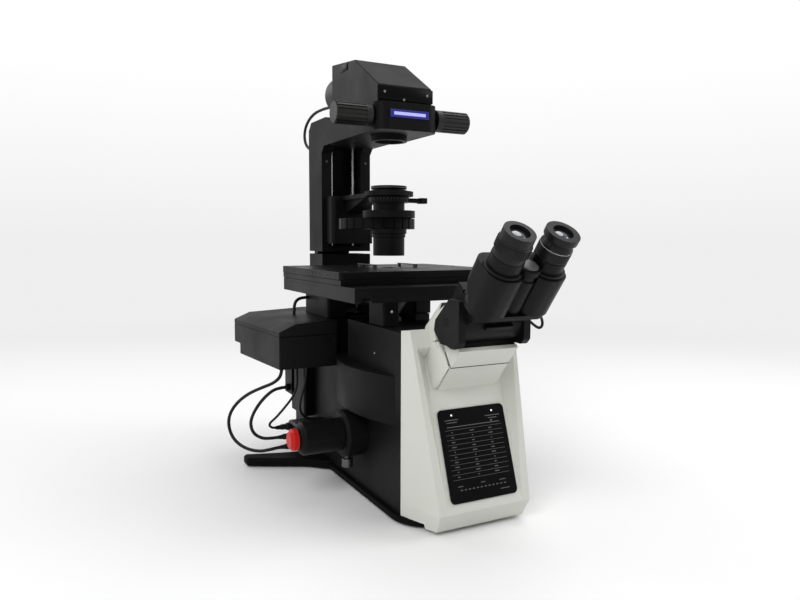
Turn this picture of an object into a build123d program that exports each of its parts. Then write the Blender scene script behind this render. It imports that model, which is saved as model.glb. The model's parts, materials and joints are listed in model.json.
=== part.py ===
from build123d import *
import os
from math import atan2, cos, degrees, pi, radians, sin, sqrt, tan

# Inverted microscope. Millimetres, +Z up, +X to the viewer's right, +Y to the rear.
# The origin lies on the table, straight below the optical axis.

# Clearances
run_clear = 0.05
slide_clear = 0.3
seat_clear = 0.2

# Width of the body, from which the side pieces are measured
body_half_width = 93.0

# Base and feet
base_margin = 7.0
base_half_width = body_half_width + base_margin
base_front_y = -266.0
base_rear_y = 236.0
base_corner_radius = 60.0
foot_height = 3.0
foot_radius = 16.0
base_top_z = 12.0

# Outrigger legs
leg_top_z = 16.0
leg_reach = 128.0
leg_reach_x = body_half_width + leg_reach
leg_front_y = 105.0
leg_rear_y = 135.0
leg_root_front_y = 22.0
leg_root_rear_y = 98.0
leg_knee = 38.0
leg_knee_x = body_half_width + leg_knee
leg_root_flare = 17.0
leg_root_rise = 14.0
leg_corner_radius = 7.0
leg_knee_y = 57.0
leg_pad_length = 48.0
leg_pad_width = 16.0
leg_pad_turn = 26.0
leg_pad_inset = 33.0
foot_places = [(-70, -200), (70, -200), (-70, 190), (70, 190), (0, 0)]

# Main casting
body_front_y = -225.0
body_rear_y = 235.0
body_wall = 9.0
notch_floor_z = 205.0
notch_front_y = -104.0
notch_rear_y = 104.0
cheek_front_y = 22.0
cheek_thickness = 29.0
cheek_inner_x = body_half_width - cheek_thickness
wing_rear_y = -40.0
rear_corner_radius = 18.0
column_top_z = 262.0
front_top_z = 268.0

# White front cover
cover_bottom_z = 6.0
cover_top_z = 271.0
cover_heel_z = 32.0
cover_heel_y = -299.0
cover_toe_y = -285.0
cover_brow_y = -238.0
cover_heel_inset = 20.0
cover_brow_inset = 7.0
cover_heel_half_width = body_half_width - cover_heel_inset
cover_brow_half_width = body_half_width - cover_brow_inset
dish_inset = 33.0
dish_half_width = body_half_width - dish_inset
dish_low_z = 34.0
dish_high_z = 234.0
dish_depth = 50.0
panel_margin = 6.0
panel_half_width = dish_half_width - panel_margin
panel_low_y = -295.0
panel_low_z = 44.0
panel_high_y = -254.0
panel_high_z = 162.0
panel_thickness = 2.0
panel_corner_radius = 7.0

# Neck under the eyepiece tube
neck_half_width = 47.0
neck_root_y = -244.0
neck_root_z = 187.0
neck_seam_y = -279.0
neck_seam_z = 224.5
neck_lip_y = -300.0
neck_lip_z = 249.0
neck_back_y = -209.0
neck_peak_y = -252.0
neck_peak_z = 310.0
cap_seam_back_y = -258.0
cap_seam_back_z = 254.0
cap_gap = 0.4

# Tilting eyepiece tube
drum_y = -282.0
drum_z = 287.0
drum_radius = 28.5
drum_half_length = 45.7
saddle_outer_radius = 36.0
cheek_inner = 46.0
cheek_outer = 57.0
cheek_corner_radius = 5.0
# Yoke cheek and white ear, as (y, z) from the drum's axis
cheek_outline = [
    (-31.5, -25.0), (-31.5, 31.0), (-6.6, 31.0), (28.0, 0.0), (31.2, -14.0), (14.5, -30.4), (-24.0, -32.5),
]
ear_outline = [
    (57.0, -19.0), (52.0, -9.5), (5.0, 22.0), (8.0, 17.9), (28.0, 0.0), (31.2, -14.0),
    (25.0, -26.0), (57.0, -42.0),
]
# Tilting block, as (y, z) in the tube's own frame
block_outline = [(22.0, 0.0), (22.0, 50.0), (-46.0, 50.0), (-46.0, 47.5), (-26.0, 20.0), (-20.0, 0.0)]
tilt_pin_radius = 6.0
tube_elevation = 52.8
tube_offset = 26.0
shaft_offset = 33.0
shaft_radius = 13.0
shaft_cap_radius = 15.5
shaft_end_s = 114.0
shaft_cap_length = 8.0
tube_spacing = 64.0
tube_radius = 25.5
tube_base_s = 46.8
tube_start_s = 54.0
tube_end_s = 116.0
tube_housing_end_s = 112.0
tube_housing_rear = -5.0
tube_housing_front = 54.0
tube_housing_corner = 9.0
tube_slope_low = 26.0
tube_slope_top_s = 88.0
swing_relief = 23.0
sleeve_radius = 21.5
sleeve_end_s = 131.0
eyepiece_barrel_radius = 15.0
ring_radius = 21.0
ring_length = 24.0
eyecup_radius = 20.5
eyecup_length = 12.0
eyecup_bore_radius = 13.0
right_ring_length = 17.0
right_waist_length = 10.0
right_waist_radius = 15.5
right_cup_radius = 22.0

# Stage
stage_base_half_x = 143.0
stage_overhang = 1.5
stage_half_x = stage_base_half_x + stage_overhang
stage_half_y = 132.8
stage_base_front_y = -183.0
stage_base_rear_y = 131.0
stage_base_z = 305.5
stage_base_top_z = 327.0
stage_y_thickness = 8.0
stage_top_z = 347.0
stage_open_half = 96.0
stage_open_radius = 65.0
insert_radius = 72.0
insert_thickness = 3.4
insert_hole_radius = 14.0
riser_inset = 2.0
riser_overhang = 7.0
riser_inner_x = cheek_inner_x + riser_inset
riser_outer_x = body_half_width + riser_overhang
riser_front_y = 28.0
riser_rear_y = 140.0
front_riser_y = -160.0
clip_x = 38.0
clip_post_y = 34.0
clip_post_radius = 3.0
clip_tip_y = -26.0
clip_tip_length = 4.0
clip_half_width = 3.5
clip_rise = 5.0
clip_thickness = 1.2

# Nosepiece and focus
nose_tilt = 18.0
nose_pitch_radius = 30.0
nose_shoulder_z = 300.0
nose_disc_radius = 46.0
nose_disc_thickness = 13.0
nose_hub_length = 24.0
nose_hub_radius = 22.0
objective_radius = 12.5
objective_lengths = [40.0, 31.0, 29.0, 28.0, 29.0, 31.0]
objective_tip_radius = 7.0
objective_lift = 4.5
thread_radius = 8.0
spindle_radius = 6.0
beam_radius = 15.0
focus_block_half_x = 42.0
focus_block_depth = 30.0
focus_block_z = 216.0
focus_block_height = 40.0
dovetail_half_x = 20.0
dovetail_depth = 9.0
bridge_front_y = 20.0
bridge_height = 24.0
nose_seat_margin = 8.0
nose_seat_thickness = 10.0
nose_spindle_length = 8.2
nose_socket_depth = 9.0
nose_sweep_height = 60.0

# Filter turret behind the bulged side cover
filter_inset = 63.0
filter_x = filter_inset - body_half_width
filter_y = -62.0
filter_radius = 76.0
filter_z = 146.0
filter_height = 42.0
filter_shaft_radius = 10.0
bulge_front_y = -207.0
bulge_rear_y = 5.0
bulge_depth = 25.0
bulge_low_z = 135.0
bulge_high_z = 204.0
bulge_wall = 5.0

# Autofocus unit on the left side
unit_front_reach = 99.0
unit_rear_reach = 116.0
unit_ridge_reach = 71.0
unit_front_x = -body_half_width - unit_front_reach
unit_rear_x = -body_half_width - unit_rear_reach
unit_front_y = 5.0
unit_rear_y = 226.0
unit_bottom_z = 185.0
unit_shoulder_z = 246.0
unit_step_y = 196.0
unit_step_z = 204.0
unit_ridge_x = -body_half_width - unit_ridge_reach
unit_ridge_z = 258.0
unit_lid_height = 8.0

# Connector block and plugs
socket_block_depth = 47.0
socket_block_x = -body_half_width - socket_block_depth
socket_block_y = 97.0
socket_block_z = 48.0
socket_block_width = 54.0
socket_block_height = 44.0
plug_radius = 5.0
plug_length = 18.0
bracket_reach = 59.0
bracket_x = -body_half_width - bracket_reach
bracket_y = 84.0
bracket_width = 36.0
bracket_drop = 56.0
bracket_thickness = 5.0
boss_radius = 6.0
duct_front_y = 118.0
duct_rear_y = 194.0
duct_depth = 18.0
duct_bottom_z = 74.0

# Side port
port_y = -86.0
port_z = 97.0
port_flange_radius = 36.0
port_flange_length = 34.0
port_bore_radius = 19.0
adapter_radius = 25.0
adapter_length = 67.0
adapter_nose_radius = 15.0
adapter_nose_length = 10.0
cap_radius = 16.5
cap_length = 12.0
cap_rib_count = 8
clamp_radius = 4.5
clamp_length = 26.0

# Pillar, arm and hinge
pillar_half_width = 50.0
pillar_front_y = 183.0
pillar_rear_y = 252.0
pillar_bottom_z = 371.0
pillar_gap = 5.0
pillar_chamfer = 14.0
channel_half_width = 30.0
channel_depth = 42.0
head_rear_top_z = 704.0
head_height = 96.0
arm_thickness = 41.0
arm_top_z = head_rear_top_z - head_height
arm_bottom_z = arm_top_z - arm_thickness
pillar_rise = 10.0
pillar_top_z = arm_top_z + pillar_rise
arm_front_y = 40.0
hinge_y = 259.0
hinge_pin_radius = 4.5
hinge_ear_radius = 9.0
hinge_half_length = 34.0
hinge_knuckle_half = 18.0
hinge_tail = 24.0
rod_radius = 4.0
rod_x = 23.0
rod_y = 205.0

# Lamp house and field stop
head_half_width = 48.0
head_rear_y = 134.0
head_ridge_y = 33.0
head_ridge_fall = 12.0
head_ridge_z = head_rear_top_z - head_ridge_fall
head_front_y = -58.0
head_brow_rise = 28.0
head_brow_z = arm_top_z + head_brow_rise
socket_radius = 36.0
socket_rise = 56.0
socket_z = arm_top_z + socket_rise
socket_end_y = 204.0
stop_half_width = 55.0
stop_front_y = -73.0
stop_lip = 2.0
stop_bottom_z = arm_bottom_z - stop_lip
stop_corner_radius = 20.0
window_radius = 30.0
window_drop = 9.0
badge_half_width = 34.0
badge_height = 12.0
badge_rise = 25.0
badge_z = stop_bottom_z + badge_rise
badge_thickness = 1.5
knob_y = -48.0
knob_rise = 23.0
knob_z = stop_bottom_z + knob_rise
knob_root_x = 58.5
knob_end_x = 119.0
knob_radius = 17.5
knob_shaft_radius = 5.0
knob_rib_count = 18
knob_rib_depth = 1.4

# Condenser and its carriage, measured from the bottom of the housing plate
housing_z = 430.0
carriage_half_width = 42.0
carriage_front_y = 150.0
carriage_drop = 44.0
carriage_bottom_z = housing_z - carriage_drop
tongue_half_width = 29.0
tongue_inset = 12.0
holder_radius = 41.0
holder_bore_radius = 27.5
holder_rise = 36.0
holder_z = housing_z + holder_rise
holder_thickness = 8.0
holder_rib_y = 62.0
holder_rib_drop = 24.0
carriage_top_z = holder_z + holder_thickness
tongue_bottom_z = carriage_bottom_z + tongue_inset
tongue_top_z = carriage_top_z - tongue_inset
holder_arm_half_width = 22.0
condenser_neck_radius = 26.5
condenser_flange_radius = 30.0
condenser_rise = 53.0
condenser_top_z = housing_z + condenser_rise
lever_rise = 25.5
lever_z = housing_z + lever_rise
lever_thickness = 9.5
lever_ring_radius = 34.0
lever_reach_x = 70.0
housing_radius = 44.0
housing_thickness = 12.0
housing_top_z = housing_z + housing_thickness
turret_y = 47.0
turret_radius = 66.0
turret_room = 18.0
turret_z = housing_z - turret_room
turret_hole_radius = 14.0
turret_shaft_radius = 8.0
turret_rib_count = 24
lens_plate_thickness = 8.0
lens_flange_radius = 30.0
lens_barrel_radius = 26.5
lens_drop = 63.0
lens_bottom_z = housing_z - lens_drop
lens_bore_radius = 17.0
focus_knob_radius = 13.0
focus_knob_length = 16.0
focus_knob_y = 166.0
focus_knob_drop = 10.0
focus_knob_z = housing_z - focus_knob_drop
focus_knob_rib_count = 14
pinion_radius = 5.0

# Light path inside the casting
mirror_size = 44.0
mirror_thickness = 6.0
mirror_z = 62.0
lens_tube_radius = 21.0
lens_tube_wall = 4.0
lens_tube_lip = 3.0
lens_seat = 2.0
lens_glass_thickness = 8.0

# Cords: diameter, then the points of each route; those at the left start from the body's side face
cord_diameter = 5.6
thin_cord_diameter = 4.2
lamp_cord_points = [
    (-16, 204, 648), (-16, 222, 648), (-22, 247, 648), (-31, 274, 643), (-38, 296, 627),
    (-41, 304, 605), (-41, 296, 584), (-38, 276, 571), (-38, 252, 571),
]
arch_cord_points = [
    (-35, 121, 260.5), (-35, 121, 273.5), (-31, 122.5, 285), (-20, 125, 290), (-7, 125, 290),
]
loop_cord_points = [
    (-79, 56, 185), (-79, 56, 168), (-89, 62, 154), (-107, 78, 144), (-124, 98, 132), (-139, 119, 114),
    (-150, 134, 91), (-151, 140, 66), (-144, 130, 44), (-129, 111, 32), (-110, 93, 29), (-93, 86, 32),
    (-79, 85, 34), (-65, 85, 34),
]
bracket_cord_points = [
    (-65, 80, 140), (-81, 80, 140), (-95, 86, 130), (-107, 96, 113), (-116, 105, 94), (-120, 111, 75),
    (-115, 110, 57), (-101, 103, 48), (-83, 98, 48), (-65, 98, 48),
]
tight_cord_points = [
    (-57, 44, 185), (-57, 44, 169), (-55, 48, 150), (-58, 58, 129), (-68, 73, 108), (-80, 89, 86.5),
    (-88, 98.5, 76), (-88, 103.6, 70), (-84, 108.3, 65), (-77, 111, 62), (-65, 111, 62),
]
drop_cord_points = [
    (-45, 30, 185), (-45, 30, 168), (-47, 36, 148), (-50, 47, 125), (-48, 60, 104), (-37, 72, 88),
    (-24, 80, 80), (-13, 82, 78), (0, 82, 78),
]
stage_cord_points = [
    (118, -183, 316), (118, -202, 316), (120, -223, 311), (122, -241, 298), (123, -254, 282),
    (122, -259, 271), (120, -254, 265), (117, -243, 270), (114, -228, 280), (112, -211, 287),
    (111, -193, 288), (111, -178, 292), (111, -178, 305.5),
]


def block(x0, x1, y0, y1, z0, z1):
    return Pos((x0 + x1) / 2, (y0 + y1) / 2, (z0 + z1) / 2) * Box(x1 - x0, y1 - y0, z1 - z0)


def upright(radius, x, y, z0, z1):
    return Pos(x, y, (z0 + z1) / 2) * Cylinder(radius, z1 - z0)


def along_x(radius, y, z, x0, x1):
    return Pos((x0 + x1) / 2, y, z) * Rot(0, 90, 0) * Cylinder(radius, x1 - x0)


def along_y(radius, x, z, y0, y1):
    return Pos(x, (y0 + y1) / 2, z) * Rot(90, 0, 0) * Cylinder(radius, y1 - y0)


def side_profile(points, x0, x1):
    plane = Plane(origin=(x0, 0, 0), x_dir=(0, 1, 0), z_dir=(1, 0, 0))
    return extrude(plane * Polygon(*points, align=None), amount=x1 - x0, dir=(1, 0, 0))


def plan_profile(points, z0, z1):
    return extrude(Pos(0, 0, z0) * Polygon(*points, align=None), amount=z1 - z0, dir=(0, 0, 1))


def from_side(points):
    return [(x - body_half_width, y, z) for x, y, z in points]


def from_drum(points):
    return [(drum_y + y, drum_z + z) for y, z in points]


def mirrored(shape):
    return mirror(shape, about=Plane.YZ)


def ribbed(shape, radius, count, depth, place, length):
    for index in range(count):
        turn = Rot(0, 0, 360.0 * index / count)
        shape -= place * turn * Pos(radius, 0, 0) * Box(2 * depth, 2 * depth, length)
    return shape


def edges_along(shape, axis):
    return shape.edges().filter_by(axis)


def corner_radii(points):
    radii = []
    for before, here, after in zip(points, points[1:], points[2:]):
        back = Vector(*before) - Vector(*here)
        ahead = Vector(*after) - Vector(*here)
        turn = 180.0 - back.get_angle(ahead)
        radii.append(0.45 * min(back.length, ahead.length) / tan(radians(turn / 2)))
    return radii


def cord(name, points, diameter):
    radii = corner_radii(points)
    path = FilletPolyline(*points, radius=radii)
    start = Plane(origin=points[0], z_dir=Vector(*points[1]) - Vector(*points[0]))
    tube = sweep(start * Circle(diameter / 2), path=path)
    share = tube.volume / (pi * diameter ** 2 / 4 * path.length)
    tightest = round(min(radii), 1)
    print(name, "length", round(path.length), "tightest", tightest, "volume share", round(share, 4))
    return tube


# Base plate, legs and rubber feet
def make_base():
    plate = block(-base_half_width, base_half_width, base_front_y, base_rear_y, foot_height, base_top_z)
    front = edges_along(plate, Axis.Z).group_by(Axis.Y)[0]
    return fillet(front, base_corner_radius)


def make_leg():
    outline = [
        (-body_half_width, leg_root_front_y),
        (-body_half_width - leg_root_flare, leg_root_front_y + leg_root_rise),
        (-leg_knee_x, leg_knee_y), (-leg_reach_x, leg_front_y),
        (-leg_reach_x, leg_rear_y), (-leg_knee_x, leg_root_rear_y + 8), (-body_half_width, leg_root_rear_y),
    ]
    leg = plan_profile(outline, foot_height, leg_top_z)
    outer = edges_along(leg, Axis.Z).group_by(Axis.X)[0]
    leg = fillet(outer, leg_corner_radius)
    leg = chamfer(leg.faces().sort_by(Axis.Z)[-1].edges().group_by(Axis.X)[0], 3)
    plate_room = block(-base_half_width - seat_clear, 0, base_front_y, base_rear_y, 0, base_top_z)
    casting_room = block(-body_half_width, 0, body_front_y, body_rear_y, base_top_z, leg_top_z)
    return leg - plate_room - casting_room


def make_feet():
    pads = []
    for x, y in foot_places:
        pads.append(upright(foot_radius, x, y, 0, foot_height))
    pad_x = leg_reach_x - leg_pad_inset
    pad_y = leg_front_y + 6
    for side in (-1, 1):
        place = Pos(side * pad_x, pad_y, foot_height / 2) * Rot(0, 0, side * leg_pad_turn)
        pads.append(place * Box(leg_pad_length, leg_pad_width, foot_height))
    return Compound(children=pads)


# Main casting: a deep shell that stands on the base plate, with a saddle cut for the nosepiece
def make_casting():
    side = [
        (body_front_y, base_top_z), (body_rear_y, base_top_z), (body_rear_y, column_top_z),
        (cheek_front_y, column_top_z), (cheek_front_y, notch_floor_z), (notch_front_y, notch_floor_z),
        (notch_front_y, front_top_z), (body_front_y, front_top_z),
    ]
    casting = side_profile(side, -body_half_width, body_half_width)
    casting = fillet(edges_along(casting, Axis.Z).group_by(Axis.Y)[-1], rear_corner_radius)
    casting -= block(-cheek_inner_x, cheek_inner_x, cheek_front_y - 1, notch_rear_y,
                     notch_floor_z, column_top_z + 1)
    hollow = block(
        -body_half_width + body_wall, body_half_width - body_wall,
        body_front_y + body_wall, body_rear_y - body_wall,
        base_top_z, notch_floor_z - body_wall,
    )
    casting -= hollow
    wing = block(-body_half_width, -cheek_inner_x, notch_front_y, wing_rear_y, notch_floor_z, front_top_z)
    casting += wing + mirrored(wing)
    casting += block(-dovetail_half_x, dovetail_half_x, notch_rear_y - dovetail_depth, notch_rear_y,
                     notch_floor_z, column_top_z)
    casting -= upright(lens_tube_radius + seat_clear, 0, 0, notch_floor_z - body_wall - 1, notch_floor_z + 1)
    window = block(
        -body_half_width - 1, -body_half_width + body_wall + 1,
        filter_y - filter_radius - 3, bulge_rear_y - bulge_wall - 2, bulge_low_z + 6, bulge_high_z - 10,
    )
    casting -= window
    inside_x = -body_half_width + body_wall + 1
    casting -= along_x(port_bore_radius, port_y, port_z, -body_half_width - 1, inside_x)
    return casting


def make_bulge():
    chord = bulge_rear_y - bulge_front_y
    radius = ((chord / 2) ** 2 + bulge_depth ** 2) / (2 * bulge_depth)
    mid_y = (bulge_front_y + bulge_rear_y) / 2
    centre_x = -body_half_width - bulge_depth + radius
    outside = block(-body_half_width - bulge_depth - 5, -body_half_width, bulge_front_y, bulge_rear_y,
                    bulge_low_z, bulge_high_z)
    cover = outside & upright(radius, centre_x, mid_y, bulge_low_z, bulge_high_z)
    room = upright(radius - bulge_wall, centre_x, mid_y, bulge_low_z + bulge_wall, bulge_high_z - bulge_wall)
    return cover - room


# White front cover: a leaning wedge with a dished front, joined to the neck
def cover_section(z, front_y, half_width):
    rear = body_front_y
    back = [(-body_half_width, rear), (body_half_width, rear)]
    front = [(half_width, front_y), (-half_width, front_y)]
    return Pos(0, 0, z) * Polygon(*back, *front, align=None)


def panel_plane():
    mid_y = (panel_low_y + panel_high_y) / 2
    mid_z = (panel_low_z + panel_high_z) / 2
    rise = Vector(0, panel_high_y - panel_low_y, panel_high_z - panel_low_z)
    normal = Vector(1, 0, 0).cross(rise)
    return Plane(origin=(0, mid_y, mid_z), x_dir=(1, 0, 0), z_dir=normal)


def panel_length():
    return sqrt((panel_high_y - panel_low_y) ** 2 + (panel_high_z - panel_low_z) ** 2)


def neck_outline(rear_y):
    return [
        (rear_y, neck_root_z + 8), (neck_root_y, neck_root_z), (neck_seam_y, neck_seam_z),
        (neck_lip_y, neck_lip_z), (neck_lip_y + 9, neck_lip_z + 13), (drum_y, drum_z), (drum_y, neck_peak_z),
        (neck_peak_y, neck_peak_z), (neck_back_y, cover_top_z), (rear_y, cover_top_z),
    ]


def saddle_room():
    return along_x(saddle_outer_radius, drum_y, drum_z, -cheek_outer - 2, cheek_outer + 2)


def cap_region(gap):
    ahead = 60.0
    slope = Vector(0, cap_seam_back_y - neck_seam_y, cap_seam_back_z - neck_seam_z).normalized()
    shift_y = -gap * slope.Z
    shift_z = gap * slope.Y
    back_y = cap_seam_back_y + shift_y
    points = [
        (neck_seam_y + shift_y, neck_seam_z + shift_z), (back_y, cap_seam_back_z + shift_z),
        (back_y, cap_seam_back_z + ahead), (neck_seam_y - ahead, cap_seam_back_z + ahead),
        (neck_seam_y - ahead, neck_seam_z + shift_z),
    ]
    return side_profile(points, -neck_half_width - 20, neck_half_width + 20)


def make_neck():
    neck = side_profile(neck_outline(body_front_y), -neck_half_width, neck_half_width)
    neck -= saddle_room()
    cheek_room = side_profile(from_drum(cheek_outline), cheek_inner - seat_clear, cheek_outer)
    return neck - cheek_room - mirrored(cheek_room)


def make_cover():
    low = loft([cover_section(cover_bottom_z, cover_toe_y, cover_heel_half_width - 3),
                cover_section(cover_heel_z, cover_heel_y, cover_heel_half_width)], ruled=True)
    high = loft([cover_section(cover_heel_z, cover_heel_y, cover_heel_half_width),
                 cover_section(cover_top_z, cover_brow_y, cover_brow_half_width)], ruled=True)
    wedge = low + high
    wedge -= block(-base_half_width - 1, base_half_width + 1, base_front_y - seat_clear, body_front_y + 1,
                   cover_bottom_z - 1, base_top_z)
    plane = panel_plane()
    slope = (panel_high_z - panel_low_z) / panel_length()
    dish_length = (dish_high_z - dish_low_z) / slope
    dish_mid = ((dish_high_z + dish_low_z) / 2 - plane.origin.Z) / slope
    depth = dish_depth
    floor = plane * Pos(0, dish_mid, 0) * Rectangle(2 * dish_half_width, dish_length)
    mouth = plane * Pos(0, dish_mid, depth) * Rectangle(2 * (dish_half_width + depth), dish_length + depth)
    wedge -= loft([floor, mouth], ruled=True)
    neck = make_neck()
    root_points = [
        (body_front_y, neck_root_z + 8), (neck_root_y, neck_root_z), (body_front_y, neck_root_z - 16),
    ]
    root = side_profile(root_points, -neck_half_width, neck_half_width)
    cover = wedge + neck + root
    cover -= cap_region(0)
    ear = side_profile(from_drum(ear_outline), cheek_inner, cheek_outer)
    return cover + ear + mirrored(ear)


def make_cap():
    yoke_room = along_x(saddle_outer_radius + cap_gap, drum_y, drum_z, -cheek_outer, cheek_outer)
    return (make_neck() & cap_region(cap_gap)) - yoke_room


def make_panel():
    plane = panel_plane()
    face = plane * RectangleRounded(2 * panel_half_width, panel_length(), panel_corner_radius)
    return extrude(face, amount=panel_thickness)


# Eyepiece tube: fixed yoke and pin, tilting block, two swinging tubes
def tube_frame():
    lean = radians(tube_elevation)
    direction = Vector(0, -cos(lean), sin(lean))
    return Plane(origin=(0, drum_y, drum_z), x_dir=(1, 0, 0), z_dir=direction).location


def on_tube(x, offset, s0, s1, radius):
    return tube_frame() * Pos(x, -offset, (s0 + s1) / 2) * Cylinder(radius, s1 - s0)


def make_yoke():
    saddle = along_x(saddle_outer_radius, drum_y, drum_z, -cheek_inner, cheek_inner)
    saddle -= along_x(drum_radius + slide_clear, drum_y, drum_z, -cheek_inner, cheek_inner)
    reach = 80.0
    edge = radians(38)
    front = [
        (0, 0), (reach * cos(edge), reach * sin(edge)), (0, reach),
        (-reach, reach), (-reach, -reach), (-reach * 0.35, -reach),
    ]
    saddle -= side_profile(from_drum(front), -cheek_inner, cheek_inner)
    cheek = side_profile(from_drum(cheek_outline), cheek_inner, cheek_outer)
    cheek = fillet(edges_along(cheek, Axis.X).sort_by(Axis.Y)[:3], cheek_corner_radius)
    yoke = saddle + cheek + mirrored(cheek)
    return yoke - along_x(tilt_pin_radius + run_clear, drum_y, drum_z, -cheek_outer - 1, cheek_outer + 1)


def make_tilt_pin():
    return along_x(tilt_pin_radius, drum_y, drum_z, -cheek_outer, cheek_outer)


def rounded_plate(width, height, depth):
    return extrude(RectangleRounded(width, height, height * 0.45), amount=depth / 2, both=True)


def make_tilt_block():
    drum = along_x(drum_radius, drum_y, drum_z, -drum_half_length, drum_half_length)
    body = tube_frame() * side_profile(block_outline, -drum_half_length, drum_half_length)
    plate = tube_frame() * Pos(0, -tube_offset, (tube_base_s + tube_start_s) / 2) * rounded_plate(
        2 * (tube_spacing / 2 + tube_radius), 2 * tube_radius, tube_start_s - tube_base_s)
    block_shape = drum + body + plate
    block_shape += on_tube(0, shaft_offset, tube_start_s, shaft_end_s, shaft_radius)
    block_shape += make_shaft_cap()
    block_shape -= along_x(tilt_pin_radius + run_clear, drum_y, drum_z, -cheek_outer, cheek_outer)
    return block_shape


def make_shaft_cap():
    cap = on_tube(0, shaft_offset, shaft_end_s, shaft_end_s + shaft_cap_length, shaft_cap_radius)
    return fillet(cap.edges().group_by(Axis.Z)[-1], 2)


def make_tube_housing(side, start):
    depth = tube_housing_front - tube_housing_rear
    mid = (tube_housing_front + tube_housing_rear) / 2
    outline = RectangleRounded(2 * tube_radius, depth, tube_housing_corner)
    box = extrude(outline, amount=tube_housing_end_s - start)
    housing = tube_frame() * Pos(side * tube_spacing / 2, -mid, start) * box
    rear = -tube_housing_rear
    slope = [
        (-tube_slope_low, start - 1), (rear + 1, tube_slope_top_s), (rear + depth, tube_slope_top_s),
        (rear + depth, start - 1),
    ]
    housing -= tube_frame() * side_profile(slope, -tube_spacing, tube_spacing)
    lean = tan(radians(swing_relief)) * depth
    relief = [
        (0, -shaft_offset), (side * lean, depth - shaft_offset),
        (-side * depth, depth - shaft_offset), (-side * depth, -shaft_offset),
    ]
    return housing - tube_frame() * plan_profile(relief, start - 1, tube_end_s)


def make_eye_tube(side):
    x = side * tube_spacing / 2
    start = tube_start_s + slide_clear
    tube = make_tube_housing(side, start)
    tube += on_tube(x, tube_offset, tube_housing_end_s, tube_end_s, tube_radius - 1)
    tube += on_tube(x, tube_offset, tube_end_s, sleeve_end_s, sleeve_radius)
    tube -= on_tube(0, shaft_offset, start - 1, sleeve_end_s + 1, shaft_cap_radius + slide_clear)
    tube -= on_tube(x, tube_offset, tube_end_s - 20, sleeve_end_s + 1, eyepiece_barrel_radius + run_clear)
    return tube


def make_eyepiece(side):
    x = side * tube_spacing / 2
    low = sleeve_end_s + slide_clear
    cup_end = sleeve_end_s + ring_length + eyecup_length
    body = on_tube(x, tube_offset, tube_end_s - 18, low, eyepiece_barrel_radius)
    if side < 0:
        body += on_tube(x, tube_offset, low, sleeve_end_s + ring_length, ring_radius)
        body += on_tube(x, tube_offset, sleeve_end_s + ring_length, cup_end, eyecup_radius)
    else:
        ring_end = sleeve_end_s + right_ring_length
        waist_end = ring_end + right_waist_length
        waist = tube_frame() * Pos(x, -tube_offset, (ring_end + waist_end) / 2) * Cone(
            ring_radius, right_waist_radius, right_waist_length)
        body += on_tube(x, tube_offset, low, ring_end, ring_radius)
        body += waist
        body += on_tube(x, tube_offset, waist_end, cup_end, right_cup_radius)
    body -= on_tube(x, tube_offset, cup_end - 9, cup_end + 1, eyecup_bore_radius)
    return body


# Stage: base on two risers, then a Y carriage and the X plate with its insert
def make_risers():
    rear = block(-riser_outer_x, -riser_inner_x, riser_front_y, riser_rear_y, column_top_z, stage_base_z)
    front = block(-riser_outer_x + 12, -riser_inner_x + 4, front_riser_y, notch_front_y - 4,
                  front_top_z, stage_base_z)
    left = [fillet(edges_along(riser, Axis.Z), 4) for riser in (rear, front)]
    return Compound(children=left + [mirrored(riser) for riser in left])


def make_stage_base():
    plate = block(-stage_base_half_x, stage_base_half_x, stage_base_front_y, stage_base_rear_y,
                  stage_base_z, stage_base_top_z)
    plate -= block(-stage_open_half, stage_open_half, -stage_open_half, stage_open_half + 16,
                   stage_base_z - 1, stage_base_top_z + 1)
    for side in (-1, 1):
        x = side * (stage_base_half_x - 18)
        plate -= block(x - 8, x + 8, stage_base_front_y - 1, stage_base_front_y + 22,
                       stage_base_z - 1, stage_base_z + 7)
    return plate


def y_plate_bottom():
    return stage_base_top_z + slide_clear


def x_plate_bottom():
    return y_plate_bottom() + stage_y_thickness + slide_clear


def make_stage_y():
    low = y_plate_bottom()
    plate = block(-stage_base_half_x, stage_base_half_x, -stage_half_y, stage_half_y,
                  low, low + stage_y_thickness)
    opening = stage_open_half
    plate -= block(-opening, opening, -opening, opening, low - 1, low + stage_y_thickness + 1)
    return plate


def make_stage_top():
    plate = block(-stage_half_x, stage_half_x, -stage_half_y, stage_half_y, x_plate_bottom(), stage_top_z)
    plate = fillet(edges_along(plate, Axis.Z), 4)
    plate -= upright(stage_open_radius, 0, 0, x_plate_bottom() - 1, stage_top_z + 1)
    plate -= upright(insert_radius + seat_clear, 0, 0, stage_top_z - insert_thickness, stage_top_z + 1)
    return plate


def make_insert():
    disc = upright(insert_radius, 0, 0, stage_top_z - insert_thickness, stage_top_z)
    return disc - upright(insert_hole_radius, 0, 0, stage_top_z - insert_thickness - 1, stage_top_z + 1)


def make_clips():
    clips = []
    for side in (-1, 1):
        x0 = side * clip_x - clip_half_width
        x1 = side * clip_x + clip_half_width
        spring_z = stage_top_z + clip_rise
        post = upright(clip_post_radius, side * clip_x, clip_post_y, stage_top_z, spring_z)
        spring = block(x0, x1, clip_tip_y, clip_post_y + clip_half_width, spring_z, spring_z + clip_thickness)
        tip = block(x0, x1, clip_tip_y, clip_tip_y + clip_tip_length, stage_top_z + slide_clear, spring_z)
        clips.append(post + spring + tip)
    return Compound(children=clips)


# Nosepiece: focus block on a dovetail, tilted turret, six objectives
def nose_frame():
    tilt = radians(nose_tilt)
    axis = Vector(0, sin(tilt), cos(tilt))
    centre = Vector(0, nose_pitch_radius * cos(tilt), nose_shoulder_z - nose_pitch_radius * sin(tilt))
    return Plane(origin=centre, x_dir=(1, 0, 0), z_dir=axis).location


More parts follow.
